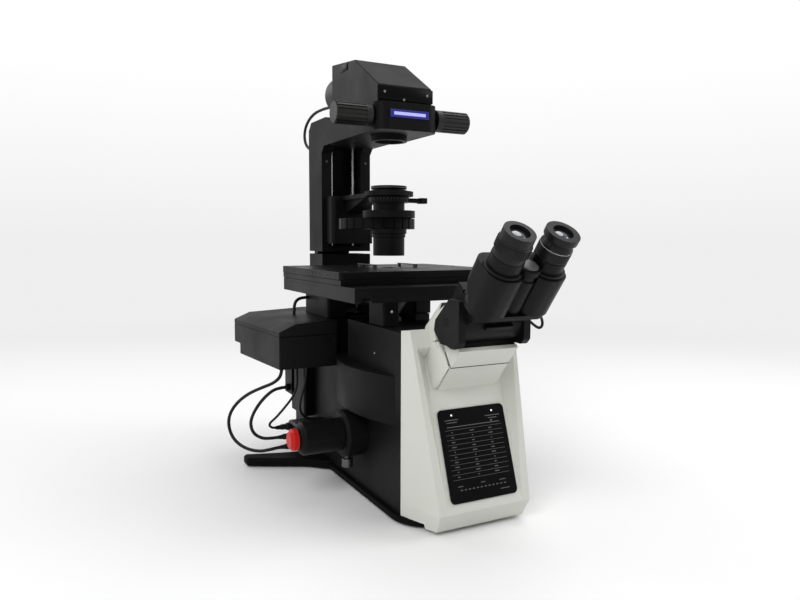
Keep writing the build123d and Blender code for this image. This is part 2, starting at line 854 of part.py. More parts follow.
def make_focus_block():
    rear = notch_rear_y - slide_clear
    z1 = focus_block_z + focus_block_height
    shape = block(-focus_block_half_x, focus_block_half_x, rear - focus_block_depth, rear, focus_block_z, z1)
    groove = dovetail_half_x + slide_clear
    shape -= block(-groove, groove, notch_rear_y - dovetail_depth - slide_clear, rear + 1,
                   focus_block_z - 1, z1 + 1)
    low = -nose_disc_thickness - nose_hub_length
    seat = nose_frame() * Pos(0, 0, low - nose_seat_thickness / 2) * Cylinder(
        nose_hub_radius + nose_seat_margin, nose_seat_thickness)
    bridge = block(-nose_hub_radius, nose_hub_radius, bridge_front_y, rear - focus_block_depth,
                   focus_block_z, focus_block_z + bridge_height)
    shape += seat + bridge
    sweep_height = nose_sweep_height - low - 2 * slide_clear
    shape -= nose_frame() * Pos(0, 0, (low + nose_sweep_height) / 2) * Cylinder(
        nose_disc_radius + nose_seat_margin, sweep_height)
    shape += nose_frame() * Pos(0, 0, low + nose_spindle_length / 2 - slide_clear) * Cylinder(
        spindle_radius - run_clear, nose_spindle_length)
    shape -= upright(beam_radius, 0, 0, focus_block_z - focus_block_height, z1 + focus_block_height)
    return shape


def make_nosepiece():
    place = nose_frame()
    disc = place * Pos(0, 0, -nose_disc_thickness / 2) * Cylinder(nose_disc_radius, nose_disc_thickness)
    hub = place * Pos(0, 0, -nose_disc_thickness - nose_hub_length / 2) * Cone(
        nose_hub_radius, nose_disc_radius - 3, nose_hub_length)
    turret = disc + hub
    socket = Cylinder(spindle_radius, 2 * nose_socket_depth)
    turret -= place * Pos(0, 0, -nose_disc_thickness - nose_hub_length) * socket
    for index in range(len(objective_lengths)):
        bore = place * Rot(0, 0, 60 * index) * Pos(0, -nose_pitch_radius, 0) * Rot(nose_tilt, 0, 0)
        turret -= bore * Cylinder(thread_radius, 2 * nose_sweep_height)
    return turret


def make_objectives():
    bodies = []
    for index, length in enumerate(objective_lengths):
        place = nose_frame() * Rot(0, 0, 60 * index) * Pos(0, -nose_pitch_radius, 0) * Rot(nose_tilt, 0, 0)
        lift = objective_lift
        barrel = place * Pos(0, 0, lift + length * 0.3) * Cylinder(objective_radius, length * 0.6)
        nose = place * Pos(0, 0, lift + length * 0.6 + (length * 0.4 - lift) / 2) * Cone(
            objective_radius - 1, objective_tip_radius, length * 0.4 - lift)
        thread = place * Pos(0, 0, lift - 6) * Cylinder(thread_radius - seat_clear, 12)
        bodies.append(barrel + nose + thread)
    return Compound(children=bodies)


# Filter turret with its shaft, and the light path under it
def make_filter_turret():
    disc = upright(filter_radius, filter_x, filter_y, filter_z, filter_z + filter_height)
    top = filter_z + filter_height
    disc -= upright(filter_shaft_radius + run_clear, filter_x, filter_y, filter_z - 1, top + 1)
    start = degrees(atan2(-filter_y, -filter_x))
    pitch = sqrt(filter_x ** 2 + filter_y ** 2)
    pocket = 15.0
    scale = min(1.0, (filter_radius - pocket - 3) / pitch)
    for index in range(6):
        angle = radians(start + 60 * index)
        x = filter_x + pitch * scale * cos(angle)
        y = filter_y + pitch * scale * sin(angle)
        disc -= upright(pocket, x, y, filter_z - 1, top + 1)
    return disc


def make_filter_shaft():
    return upright(filter_shaft_radius, filter_x, filter_y, base_top_z, notch_floor_z - body_wall)


def make_lens_tube():
    low = notch_floor_z - body_wall
    top = notch_floor_z + lens_tube_lip
    tube = upright(lens_tube_radius, 0, 0, low, top)
    tube += upright(lens_tube_radius + lens_tube_wall, 0, 0, notch_floor_z, top)
    return tube - upright(lens_tube_radius - lens_tube_wall, 0, 0, low - 1, top + 1)


def make_tube_lens():
    low = notch_floor_z - body_wall
    radius = lens_tube_radius - lens_tube_wall - seat_clear
    return upright(radius, 0, 0, low + lens_seat, low + lens_seat + lens_glass_thickness)


def make_mirror_mount():
    half = mirror_size / 2
    rear = half + 8
    wedge = [(rear, base_top_z), (rear, mirror_z + half), (-half, mirror_z - half), (-half, base_top_z)]
    return side_profile(wedge, -half, half)


def make_mirror():
    rise = Vector(0, mirror_size + 8, mirror_size)
    normal = Vector(1, 0, 0).cross(rise)
    plane = Plane(origin=(0, 4, mirror_z), x_dir=(1, 0, 0), z_dir=normal)
    return extrude(plane * Rectangle(mirror_size - 4, mirror_size - 2), amount=mirror_thickness)


# Autofocus unit: lower tray and chamfered lid
def unit_profile(y):
    share = (y - unit_front_y) / (unit_rear_y - unit_front_y)
    return unit_front_x + share * (unit_rear_x - unit_front_x)


def unit_section(y):
    left = unit_profile(y)
    shift = left - unit_front_x
    points = [
        (-body_half_width, unit_bottom_z), (left, unit_bottom_z), (left, unit_shoulder_z),
        (unit_ridge_x + shift, unit_ridge_z), (-body_half_width, column_top_z),
    ]
    plane = Plane(origin=(0, y, 0), x_dir=(1, 0, 0), z_dir=(0, -1, 0))
    return plane * Polygon(*points, align=None)


def make_unit():
    shape = loft([unit_section(unit_front_y), unit_section(unit_rear_y)], ruled=True)
    step = block(unit_rear_x - 10, -body_half_width + 1, unit_step_y, unit_rear_y + 1,
                 unit_bottom_z - 1, unit_step_z)
    return shape - step


def unit_split():
    return unit_shoulder_z - unit_lid_height


def make_unit_tray():
    return make_unit() & block(-300, 0, unit_front_y - 5, unit_rear_y + 5, unit_bottom_z - 1, unit_split())


def make_unit_lid():
    return make_unit() & block(-300, 0, unit_front_y - 5, unit_rear_y + 5, unit_split(), unit_ridge_z + 20)


def make_socket_block():
    half_w = socket_block_width / 2
    half_h = socket_block_height / 2
    shape = block(socket_block_x, -body_half_width, socket_block_y - half_w, socket_block_y + half_w,
                  socket_block_z - half_h, socket_block_z + half_h)
    return chamfer(edges_along(shape, Axis.Y).group_by(Axis.X)[0], 3)


def plug_places():
    return [(socket_block_y - 12, 34.0), (socket_block_y + 1, 48.0), (socket_block_y + 14, 62.0)]


def make_plugs():
    plugs = []
    for y, z in plug_places():
        plug = along_x(plug_radius, y, z, socket_block_x - plug_length, socket_block_x)
        plug += along_x(plug_radius + 1.6, y, z, socket_block_x - 8, socket_block_x - 2)
        plugs.append(plug)
    return Compound(children=plugs)


def make_bracket():
    half = bracket_width / 2
    plate = block(bracket_x, bracket_x + bracket_thickness, bracket_y - half, bracket_y + half,
                  unit_bottom_z - bracket_drop, unit_bottom_z)
    end_x, end_y, end_z = from_side(bracket_cord_points)[0]
    boss = along_x(boss_radius, end_y, end_z, end_x, bracket_x)
    return plate + boss


def make_duct():
    duct = block(-body_half_width - duct_depth, -body_half_width, duct_front_y, duct_rear_y,
                 duct_bottom_z, unit_bottom_z)
    return fillet(edges_along(duct, Axis.Z).group_by(Axis.X)[0], 5)


# Side port: flange, adapter, red cap and clamp screw
def clamp_x():
    return -body_half_width - port_flange_length / 2 - 4


def make_port_flange():
    outer = -body_half_width - port_flange_length
    flange = along_x(port_flange_radius, port_y, port_z, outer, -body_half_width)
    flange = chamfer(flange.faces().sort_by(Axis.X)[0].edges(), 4)
    flange -= along_x(port_bore_radius + seat_clear, port_y, port_z, outer - 1, -body_half_width + 1)
    flange -= upright(clamp_radius + run_clear, clamp_x(), port_y, port_z - port_flange_radius - 5, port_z)
    return flange


def make_adapter():
    outer = -body_half_width - port_flange_length
    adapter = along_x(adapter_radius, port_y, port_z, outer - adapter_length, outer)
    adapter = chamfer(adapter.faces().sort_by(Axis.X)[0].edges(), 6)
    nose_end = outer - adapter_length - adapter_nose_length
    adapter += along_x(port_bore_radius, port_y, port_z, outer, outer + port_flange_length - 6)
    adapter += along_x(adapter_nose_radius, port_y, port_z, nose_end, outer - adapter_length)
    adapter -= along_x(adapter_nose_radius - 4, port_y, port_z, nose_end - 1, outer + port_flange_length)
    return adapter


def make_dust_cap():
    start = -body_half_width - port_flange_length - adapter_length - 2
    cap = along_x(cap_radius, port_y, port_z, start - cap_length, start)
    cap = chamfer(cap.faces().sort_by(Axis.X)[0].edges(), 5)
    room_end = start - adapter_nose_length + 2
    cap -= along_x(adapter_nose_radius + run_clear, port_y, port_z, room_end, start + 1)
    place = Pos(start - cap_length / 2, port_y, port_z) * Rot(0, 90, 0)
    return ribbed(cap, cap_radius + 0.6, cap_rib_count, 1.2, place, cap_length * 2)


def make_clamp():
    x = clamp_x()
    low = port_z - port_flange_radius
    screw = upright(clamp_radius, x, port_y, low - 4, port_z - port_bore_radius - 1)
    head = upright(clamp_radius + 4, x, port_y, low - clamp_length / 2 - 4, low - 4)
    return screw + head


# Pillar with arm, hinged on its base block
def hinge_z():
    return pillar_bottom_z - pillar_gap / 2


def hinge_bore():
    reach = hinge_half_length + 1
    return along_x(hinge_pin_radius + run_clear, hinge_y, hinge_z(), -reach, reach)


def hinge_room(x0, x1):
    return along_x(hinge_ear_radius + slide_clear, hinge_y, hinge_z(), x0 - slide_clear, x1 + slide_clear)


def make_pillar_base():
    top = pillar_bottom_z - pillar_gap
    shape = block(-pillar_half_width, pillar_half_width, pillar_front_y, pillar_rear_y, column_top_z, top)
    shape -= hinge_room(-hinge_knuckle_half, hinge_knuckle_half)
    for side in (-1, 1):
        x0, x1 = sorted((side * (hinge_knuckle_half + slide_clear), side * hinge_half_length))
        ear = along_x(hinge_ear_radius, hinge_y, hinge_z(), x0, x1)
        ear += block(x0, x1, pillar_rear_y, hinge_y + hinge_ear_radius, hinge_z() - hinge_tail, hinge_z())
        shape += ear
    return shape - hinge_bore()


def make_hinge_pin():
    return along_x(hinge_pin_radius, hinge_y, hinge_z(), -hinge_half_length, hinge_half_length)


def make_pillar():
    side = [
        (pillar_front_y, pillar_bottom_z), (pillar_rear_y, pillar_bottom_z),
        (pillar_rear_y, pillar_top_z - pillar_chamfer), (pillar_rear_y - pillar_chamfer, pillar_top_z),
        (pillar_front_y - 20, pillar_top_z), (head_rear_y + 2, arm_top_z),
        (arm_front_y, arm_top_z), (arm_front_y, arm_bottom_z),
        (pillar_front_y - 12, arm_bottom_z), (pillar_front_y, arm_bottom_z - 12),
    ]
    pillar = side_profile(side, -pillar_half_width, pillar_half_width)
    channel = block(-channel_half_width, channel_half_width, pillar_front_y - channel_depth,
                    pillar_front_y + channel_depth, pillar_bottom_z + 10, arm_bottom_z)
    pillar -= channel
    for side_sign in (-1, 1):
        x0, x1 = sorted((side_sign * (hinge_knuckle_half + 2 * slide_clear), side_sign * hinge_half_length))
        pillar -= hinge_room(x0, x1)
    knuckle = along_x(hinge_ear_radius, hinge_y, hinge_z(), -hinge_knuckle_half, hinge_knuckle_half)
    knuckle += block(-hinge_knuckle_half, hinge_knuckle_half, pillar_rear_y, hinge_y + hinge_ear_radius,
                     hinge_z(), hinge_z() + hinge_tail)
    pillar += knuckle
    pillar -= hinge_bore()
    for side_sign in (-1, 1):
        pillar -= upright(rod_radius, side_sign * rod_x, rod_y, pillar_bottom_z + 4, arm_bottom_z + 6)
    return pillar


def make_rods():
    low = pillar_bottom_z + 4
    high = arm_bottom_z + 6
    return Compound(children=[upright(rod_radius, side * rod_x, rod_y, low, high) for side in (-1, 1)])


# Lamp house, lamp socket, field stop and its two knobs
def make_lamp_house():
    side = [
        (head_rear_y, arm_top_z), (head_rear_y, head_rear_top_z), (head_ridge_y, head_ridge_z),
        (head_front_y, head_brow_z), (head_front_y, arm_top_z),
    ]
    house = side_profile(side, -head_half_width, head_half_width)
    ridge = house.edges().filter_by(Axis.X).group_by(Axis.Z)[-2]
    house = fillet(ridge, 5)
    return house


def make_lamp_socket():
    socket = along_y(socket_radius, 0, socket_z, head_rear_y, socket_end_y)
    return fillet(socket.faces().sort_by(Axis.Y)[-1].edges(), 6)


def make_field_stop():
    stop = block(-stop_half_width, stop_half_width, stop_front_y, arm_front_y, stop_bottom_z, arm_top_z)
    stop = fillet(edges_along(stop, Axis.Z).group_by(Axis.Y)[0], stop_corner_radius)
    for side in (-1, 1):
        x0, x1 = sorted((side * (stop_half_width - 20), side * (stop_half_width + 1)))
        stop -= along_x(knob_shaft_radius + run_clear, knob_y, knob_z, x0, x1)
    return stop + make_window()


def make_window():
    ring = upright(window_radius, 0, 0, stop_bottom_z - window_drop, stop_bottom_z)
    return ring - upright(window_radius - 6, 0, 0, stop_bottom_z - window_drop - 1, stop_bottom_z - 3)


def make_badge():
    return block(-badge_half_width, badge_half_width, stop_front_y - badge_thickness, stop_front_y,
                 badge_z - badge_height / 2, badge_z + badge_height / 2)


def make_head_knob(side):
    x0, x1 = sorted((side * knob_root_x, side * knob_end_x))
    grip = along_x(knob_radius, knob_y, knob_z, x0, x1)
    grip = chamfer(grip.faces().sort_by(Axis.X)[0 if side < 0 else -1].edges(), 2)
    start = knob_root_x + 10
    centre = Pos(side * (start + knob_end_x + 2) / 2, knob_y, knob_z) * Rot(0, 90, 0)
    grip = ribbed(grip, knob_radius, knob_rib_count, knob_rib_depth, centre, knob_end_x - start + 2)
    s0, s1 = sorted((side * (stop_half_width - 18), side * knob_root_x))
    return grip + along_x(knob_shaft_radius, knob_y, knob_z, s0, s1)


# Condenser carriage, holder and condenser
def make_carriage():
    rear = pillar_front_y - slide_clear
    shape = block(-carriage_half_width, carriage_half_width, carriage_front_y, rear,
                  carriage_bottom_z, carriage_top_z)
    shape = fillet(edges_along(shape, Axis.Z).group_by(Axis.Y)[0], 8)
    depth = rod_y + rod_radius + 6
    shape += block(-tongue_half_width, tongue_half_width, rear, depth, tongue_bottom_z, tongue_top_z)
    for side in (-1, 1):
        shape -= upright(rod_radius + run_clear, side * rod_x, rod_y, tongue_bottom_z - 1, tongue_top_z + 1)
    shape -= along_x(pinion_radius + run_clear, focus_knob_y, focus_knob_z, 0, carriage_half_width + 1)
    return shape


def make_focus_knob():
    root = carriage_half_width + slide_clear
    knob = along_x(focus_knob_radius, focus_knob_y, focus_knob_z, root, root + focus_knob_length)
    place = Pos(root + focus_knob_length / 2 + 4, focus_knob_y, focus_knob_z) * Rot(0, 90, 0)
    knob = ribbed(knob, focus_knob_radius, focus_knob_rib_count, 1.0, place, focus_knob_length)
    return knob + along_x(pinion_radius, focus_knob_y, focus_knob_z, 4, root)


def make_holder():
    holder = upright(holder_radius, 0, 0, holder_z, holder_z + holder_thickness)
    holder += block(-holder_arm_half_width, holder_arm_half_width, holder_bore_radius, carriage_front_y,
                    holder_z, holder_z + holder_thickness)
    rib = [
        (holder_rib_y, holder_z), (carriage_front_y, holder_z),
        (carriage_front_y, holder_z - holder_rib_drop),
    ]
    holder += side_profile(rib, -holder_arm_half_width + 6, holder_arm_half_width - 6)
    return holder - upright(holder_bore_radius, 0, 0, holder_z - 1, holder_z + holder_thickness + 1)


def lens_plate_top():
    return turret_z - slide_clear


def make_condenser_housing():
    plate = upright(housing_radius, 0, 0, housing_z, housing_top_z)
    plate += upright(20, 0, turret_y, housing_z, housing_top_z)
    plate += block(-20, 20, 0, turret_y, housing_z, housing_top_z)
    neck = upright(condenser_neck_radius, 0, 0, housing_top_z, condenser_top_z - 4)
    seat = holder_z + holder_thickness
    collar = upright(condenser_flange_radius + 1, 0, 0, seat, seat + 2)
    flange = upright(condenser_flange_radius, 0, 0, condenser_top_z - 5, condenser_top_z)
    shaft = upright(turret_shaft_radius, 0, turret_y, lens_plate_top() - lens_plate_thickness, housing_z)
    link = block(-12, 12, 0, turret_y, lens_plate_top() - lens_plate_thickness, lens_plate_top())
    link += upright(12, 0, turret_y, lens_plate_top() - lens_plate_thickness, lens_plate_top())
    link += upright(lens_flange_radius, 0, 0, lens_plate_top() - lens_plate_thickness, lens_plate_top())
    shape = plate + neck + collar + flange + shaft + link
    return shape - upright(lens_bore_radius, 0, 0, lens_bottom_z, condenser_top_z + 1)


def make_condenser_lens():
    top = lens_plate_top() - lens_plate_thickness
    barrel = upright(lens_flange_radius - 2, 0, 0, top - 6, top)
    barrel += upright(lens_barrel_radius, 0, 0, lens_bottom_z, top - 6)
    barrel -= upright(lens_bore_radius, 0, 0, lens_bottom_z + 6, top + 1)
    return barrel - upright(lens_bore_radius - 4, 0, 0, lens_bottom_z - 1, lens_bottom_z + 7)


def make_turret():
    top = housing_z - slide_clear
    disc = upright(turret_radius, 0, turret_y, turret_z, top)
    place = Pos(0, turret_y, (turret_z + top) / 2)
    disc = ribbed(disc, turret_radius, turret_rib_count, 1.6, place, top - turret_z + 2)
    disc -= upright(turret_shaft_radius + run_clear, 0, turret_y, turret_z - 1, top + 1)
    for index in range(5):
        angle = radians(-90 + 72 * index)
        x = turret_y * cos(angle)
        y = turret_y + turret_y * sin(angle)
        disc -= upright(turret_hole_radius, x, y, turret_z - 1, top + 1)
    return disc


def make_lever():
    low = lever_z
    high = lever_z + lever_thickness
    ring = upright(lever_ring_radius, 0, 0, low, high)
    ring += block(lever_ring_radius - 3, lever_reach_x, -5, 5, low + 1, high - 1)
    ring += block(lever_reach_x - 12, lever_reach_x, -8, 8, low, high)
    return ring - upright(condenser_neck_radius + run_clear, 0, 0, low - 1, high + 1)


def build():
    nodes = {}
    nodes["base_plate"] = make_base()
    leg = make_leg()
    nodes["outriggers"] = Compound(children=[leg, mirrored(leg)])
    nodes["rubber_feet"] = make_feet()
    nodes["main_casting"] = make_casting()
    nodes["side_cover_left"] = make_bulge()
    nodes["front_cover"] = make_cover()
    nodes["neck_cap"] = make_cap()
    nodes["control_panel"] = make_panel()
    nodes["tube_yoke"] = make_yoke()
    nodes["pivot_pins"] = Compound(children=[make_tilt_pin(), make_hinge_pin()])
    nodes["tilt_block"] = make_tilt_block()
    for name, side in (("left", -1), ("right", 1)):
        nodes["eye_tube_" + name] = make_eye_tube(side)
        nodes["eyepiece_" + name] = make_eyepiece(side)
        nodes["head_knob_" + name] = make_head_knob(side)
    nodes["stage_risers"] = make_risers()
    nodes["stage_base"] = make_stage_base()
    nodes["stage_y_carriage"] = make_stage_y()
    nodes["stage_top"] = make_stage_top()
    nodes["stage_insert"] = make_insert()
    nodes["specimen_clips"] = make_clips()
    nodes["focus_block"] = make_focus_block()
    nodes["nosepiece"] = make_nosepiece()
    nodes["objectives"] = make_objectives()
    nodes["filter_turret"] = make_filter_turret()
    nodes["filter_shaft"] = make_filter_shaft()
    nodes["optics_mounts"] = Compound(children=[make_lens_tube(), make_mirror_mount()])
    nodes["path_optics"] = Compound(children=[make_tube_lens(), make_mirror()])
    nodes["focus_unit_tray"] = make_unit_tray()
    nodes["focus_unit_lid"] = make_unit_lid()
    nodes["connector_block"] = make_socket_block()
    nodes["cable_plugs"] = make_plugs()
    nodes["cable_guides"] = Compound(children=[make_bracket(), make_duct()])
    nodes["port_flange"] = make_port_flange()
    nodes["port_adapter"] = make_adapter()
    nodes["dust_cap"] = make_dust_cap()
    nodes["port_clamp"] = make_clamp()
    nodes["pillar_base"] = make_pillar_base()
    nodes["pillar"] = make_pillar()
    nodes["guide_rods"] = make_rods()
    nodes["lamp_house"] = make_lamp_house()
    nodes["lamp_socket"] = make_lamp_socket()
    nodes["field_stop"] = make_field_stop()
    nodes["badge"] = make_badge()
    nodes["condenser_carriage"] = make_carriage()
    nodes["condenser_knob"] = make_focus_knob()
    nodes["condenser_holder"] = make_holder()
    nodes["condenser_housing"] = make_condenser_housing()
    nodes["condenser_lens"] = make_condenser_lens()
    nodes["condenser_turret"] = make_turret()
    nodes["aperture_lever"] = make_lever()
    nodes["lamp_cord"] = cord("lamp_cord", lamp_cord_points, cord_diameter)
    nodes["arch_cord"] = cord("arch_cord", from_side(arch_cord_points), cord_diameter)
    nodes["loop_cord"] = cord("loop_cord", from_side(loop_cord_points), cord_diameter)
    nodes["bracket_cord"] = cord("bracket_cord", from_side(bracket_cord_points), cord_diameter)
    nodes["tight_cord"] = cord("tight_cord", from_side(tight_cord_points), thin_cord_diameter)
    nodes["drop_cord"] = cord("drop_cord", from_side(drop_cord_points), thin_cord_diameter)
    nodes["stage_cord"] = cord("stage_cord", stage_cord_points, thin_cord_diameter)
    return nodes


os.makedirs("parts", exist_ok=True)
for node, shape in build().items():
    export_step(shape, "parts/" + node + ".step")
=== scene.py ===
import json
import math

import bmesh
import bpy
from mathutils import Matrix, Vector

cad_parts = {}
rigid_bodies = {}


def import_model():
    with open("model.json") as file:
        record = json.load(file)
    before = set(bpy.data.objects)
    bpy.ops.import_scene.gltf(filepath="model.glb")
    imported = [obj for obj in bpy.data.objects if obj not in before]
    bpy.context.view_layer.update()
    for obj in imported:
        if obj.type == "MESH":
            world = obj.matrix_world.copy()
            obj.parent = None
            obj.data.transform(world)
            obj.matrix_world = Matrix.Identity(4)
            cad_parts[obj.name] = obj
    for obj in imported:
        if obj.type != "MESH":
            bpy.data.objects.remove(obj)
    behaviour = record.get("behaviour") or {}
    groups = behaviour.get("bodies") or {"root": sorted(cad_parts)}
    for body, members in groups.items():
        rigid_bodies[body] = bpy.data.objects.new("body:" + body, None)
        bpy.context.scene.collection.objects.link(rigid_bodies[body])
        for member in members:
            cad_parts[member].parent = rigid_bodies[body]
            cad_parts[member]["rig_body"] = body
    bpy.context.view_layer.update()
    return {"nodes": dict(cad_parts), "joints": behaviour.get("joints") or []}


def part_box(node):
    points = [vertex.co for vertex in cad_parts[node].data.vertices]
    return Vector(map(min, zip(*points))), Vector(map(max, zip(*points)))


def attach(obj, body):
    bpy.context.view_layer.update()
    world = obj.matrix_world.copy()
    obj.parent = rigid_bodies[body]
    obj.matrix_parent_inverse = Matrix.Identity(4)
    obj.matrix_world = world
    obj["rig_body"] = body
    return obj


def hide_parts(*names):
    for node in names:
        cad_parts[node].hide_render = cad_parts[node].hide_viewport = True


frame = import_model()
scene = bpy.context.scene
cadNodes = frame["nodes"]
jointOf = {joint["name"]: joint for joint in frame["joints"]}
mm = 0.001
print("frame loaded:", len(cadNodes), "nodes")


# Helpers for node trees, objects, meshes and sizes in millimetres
def wire(tree, *links):
    for source, output, target, entry in links:
        tree.links.new(source.outputs[output], target.inputs[entry])


def setInputs(node, values):
    for label, value in values.items():
        node.inputs[label].default_value = value


def newMaterial(name):
    material = bpy.data.materials.new(name)
    material.use_nodes = True
    return material, material.node_tree, material.node_tree.nodes["Principled BSDF"]


def addObject(name, data):
    made = bpy.data.objects.new(name, data)
    scene.collection.objects.link(made)
    return made


def takeMesh(name, bm):
    mesh = bpy.data.meshes.new(name)
    bm.to_mesh(mesh)
    bm.free()
    return mesh


def shadeSmooth(mesh, sharpAngle=None):
    for polygon in mesh.polygons:
        polygon.use_smooth = True
    if sharpAngle is not None:
        mesh.set_sharp_from_angle(angle=math.radians(sharpAngle))


def inMetres(*values):
    return tuple(value * mm for value in values)


def shift(*values):
    return Matrix.Translation(inMetres(*values))


# Shader groups: fine paint grain, and the slow change of tone that handling leaves
def newGroup(name, inputs, outputs):
    group = bpy.data.node_groups.new(name, "ShaderNodeTree")
    for label, kind, value in inputs:
        socket = group.interface.new_socket(label, in_out="INPUT", socket_type=kind)
        socket.default_value = value
    for label, kind in outputs:
        group.interface.new_socket(label, in_out="OUTPUT", socket_type=kind)
    return group, group.nodes.new("NodeGroupInput"), group.nodes.new("NodeGroupOutput")


def makePaintGrain():
    group, given, result = newGroup(
        "paintGrain",
        [("Scale", "NodeSocketFloat", 900.0), ("Detail", "NodeSocketFloat", 3.0)],
        [("Height", "NodeSocketFloat")],
    )
    place = group.nodes.new("ShaderNodeTexCoord")
    noise = group.nodes.new("ShaderNodeTexNoise")
    wire(
        group, (place, "Object", noise, "Vector"), (given, "Scale", noise, "Scale"),
        (given, "Detail", noise, "Detail"), (noise, "Fac", result, "Height"),
    )
    return group


def makeHandling():
    group, given, result = newGroup(
        "handling",
        [
            ("Color", "NodeSocketColor", (0.5, 0.5, 0.5, 1.0)),
            ("Worn Color", "NodeSocketColor", (0.6, 0.6, 0.6, 1.0)),
            ("Scale", "NodeSocketFloat", 14.0),
            ("Low", "NodeSocketFloat", 0.35),
            ("High", "NodeSocketFloat", 0.5),
        ],
        [("Color", "NodeSocketColor"), ("Roughness", "NodeSocketFloat")],
    )
    place = group.nodes.new("ShaderNodeTexCoord")
    noise = group.nodes.new("ShaderNodeTexNoise")
    setInputs(noise, {"Detail": 5.0})
    spread = group.nodes.new("ShaderNodeMapRange")
    setInputs(spread, {"From Min": 0.3, "From Max": 0.7})
    mix = group.nodes.new("ShaderNodeMix")
    mix.data_type = "RGBA"
    wire(
        group, (place, "Object", noise, "Vector"), (given, "Scale", noise, "Scale"),
        (noise, "Fac", spread, "Value"), (given, "Low", spread, "To Min"),
        (given, "High", spread, "To Max"), (noise, "Fac", mix, "Factor"), (given, "Color", mix, "A"),
        (given, "Worn Color", mix, "B"), (mix, "Result", result, "Color"),
        (spread, "Result", result, "Roughness"),
    )
    return group


paintGrain = makePaintGrain()
handling = makeHandling()

# Finishes: colour, worn colour, roughness range, metallic, gloss, grain depth in metres and grain scale
finishes = {
    "bodyBlack": {
        "color": (0.0035, 0.0035, 0.004), "worn": (0.006, 0.006, 0.0065), "rough": (0.40, 0.54),
        "gloss": 0.10, "grain": 0.00006, "scale": 1500,
    },
    "baseBlack": {
        "color": (0.003, 0.003, 0.0035), "worn": (0.005, 0.005, 0.0055), "rough": (0.58, 0.70), "gloss": 0.06,
    },
    "unitBlack": {
        "color": (0.0045, 0.0045, 0.005), "worn": (0.007, 0.007, 0.0075), "rough": (0.42, 0.56),
        "gloss": 0.15, "grain": 0.00009, "scale": 1100,
    },
    "tubeBlack": {
        "color": (0.005, 0.005, 0.0055), "worn": (0.008, 0.008, 0.0085), "rough": (0.34, 0.46),
        "gloss": 0.12, "grain": 0.00003, "scale": 1800,
    },
    "stageBlack": {
        "color": (0.0035, 0.0035, 0.004), "worn": (0.006, 0.006, 0.0065), "rough": (0.32, 0.44),
        "gloss": 0.10,
    },
    "anodised": {
        "color": (0.0035, 0.0035, 0.004), "worn": (0.006, 0.006, 0.0065), "rough": (0.30, 0.42),
        "gloss": 0.09,
    },
    "eyeBlack": {
        "color": (0.006, 0.006, 0.0065), "worn": (0.010, 0.010, 0.0105), "rough": (0.34, 0.46), "gloss": 0.20,
    },
    "knobBlack": {
        "color": (0.007, 0.0065, 0.006), "worn": (0.012, 0.011, 0.0105), "rough": (0.40, 0.54), "gloss": 0.34,
    },
    "shellWhite": {
        "color": (0.64, 0.65, 0.595), "worn": (0.67, 0.68, 0.63), "rough": (0.42, 0.52),
        "gloss": 0.40, "grain": 0.00003, "scale": 1600,
    },
    "panelGloss": {
        "color": (0.004, 0.004, 0.0045), "worn": (0.006, 0.006, 0.0065), "rough": (0.26, 0.34), "gloss": 0.07,
    },
    "steel": {"color": (0.55, 0.55, 0.56), "worn": (0.62, 0.62, 0.62), "rough": (0.20, 0.32), "metal": 1.0},
    "darkSteel": {
        "color": (0.10, 0.10, 0.105), "worn": (0.15, 0.15, 0.15), "rough": (0.26, 0.38), "metal": 0.9,
    },
    "paleGrey": {"color": (0.16, 0.16, 0.165), "worn": (0.20, 0.20, 0.20), "rough": (0.35, 0.48)},
    "footRubber": {"color": (0.008, 0.008, 0.008), "worn": (0.013, 0.013, 0.013), "rough": (0.70, 0.85)},
    "cordRubber": {
        "color": (0.005, 0.005, 0.0055), "worn": (0.009, 0.009, 0.0095), "rough": (0.42, 0.55), "gloss": 0.30,
    },
    "capRed": {
        "color": (0.50, 0.010, 0.008), "worn": (0.56, 0.014, 0.011), "rough": (0.32, 0.42), "gloss": 0.18,
    },
    "printWhite": {"color": (0.45, 0.46, 0.45), "worn": (0.50, 0.51, 0.50), "rough": (0.50, 0.60)},
    "printGrey": {"color": (0.09, 0.09, 0.092), "worn": (0.12, 0.12, 0.122), "rough": (0.50, 0.60)},
    "seamDark": {"color": (0.03, 0.03, 0.028), "worn": (0.05, 0.05, 0.046), "rough": (0.60, 0.70)},
}


def makeFinish(name, values):
    material, tree, shader = newMaterial(name)
    setInputs(shader, {
        "Metallic": values.get("metal", 0.0), "Specular IOR Level": values.get("gloss", 0.5),
    })
    tone = tree.nodes.new("ShaderNodeGroup")
    tone.node_tree = handling
    low, high = values["rough"]
    setInputs(tone, {
        "Color": (*values["color"], 1.0), "Worn Color": (*values["worn"], 1.0), "Low": low, "High": high,
    })
    wire(tree, (tone, "Color", shader, "Base Color"), (tone, "Roughness", shader, "Roughness"))
    if "grain" in values:
        grain = tree.nodes.new("ShaderNodeGroup")
        grain.node_tree = paintGrain
        setInputs(grain, {"Scale": values["scale"]})
        bump = tree.nodes.new("ShaderNodeBump")
        setInputs(bump, {"Strength": 0.5, "Distance": values["grain"]})
        wire(tree, (grain, "Height", bump, "Height"), (bump, "Normal", shader, "Normal"))
    return material


def makeGlow(name, color, strength, base):
    material, _, shader = newMaterial(name)
    setInputs(shader, {
        "Base Color": (*base, 1.0), "Roughness": 0.25, "Emission Color": (*color, 1.0),
        "Emission Strength": strength,
    })
    return material


def makeCoatedGlass(name, color):
    material, _, shader = newMaterial(name)
    setInputs(shader, {
        "Base Color": (*color, 1.0), "Roughness": 0.04, "IOR": 1.7, "Coat Weight": 1.0,
        "Coat Roughness": 0.02,
    })
    return material


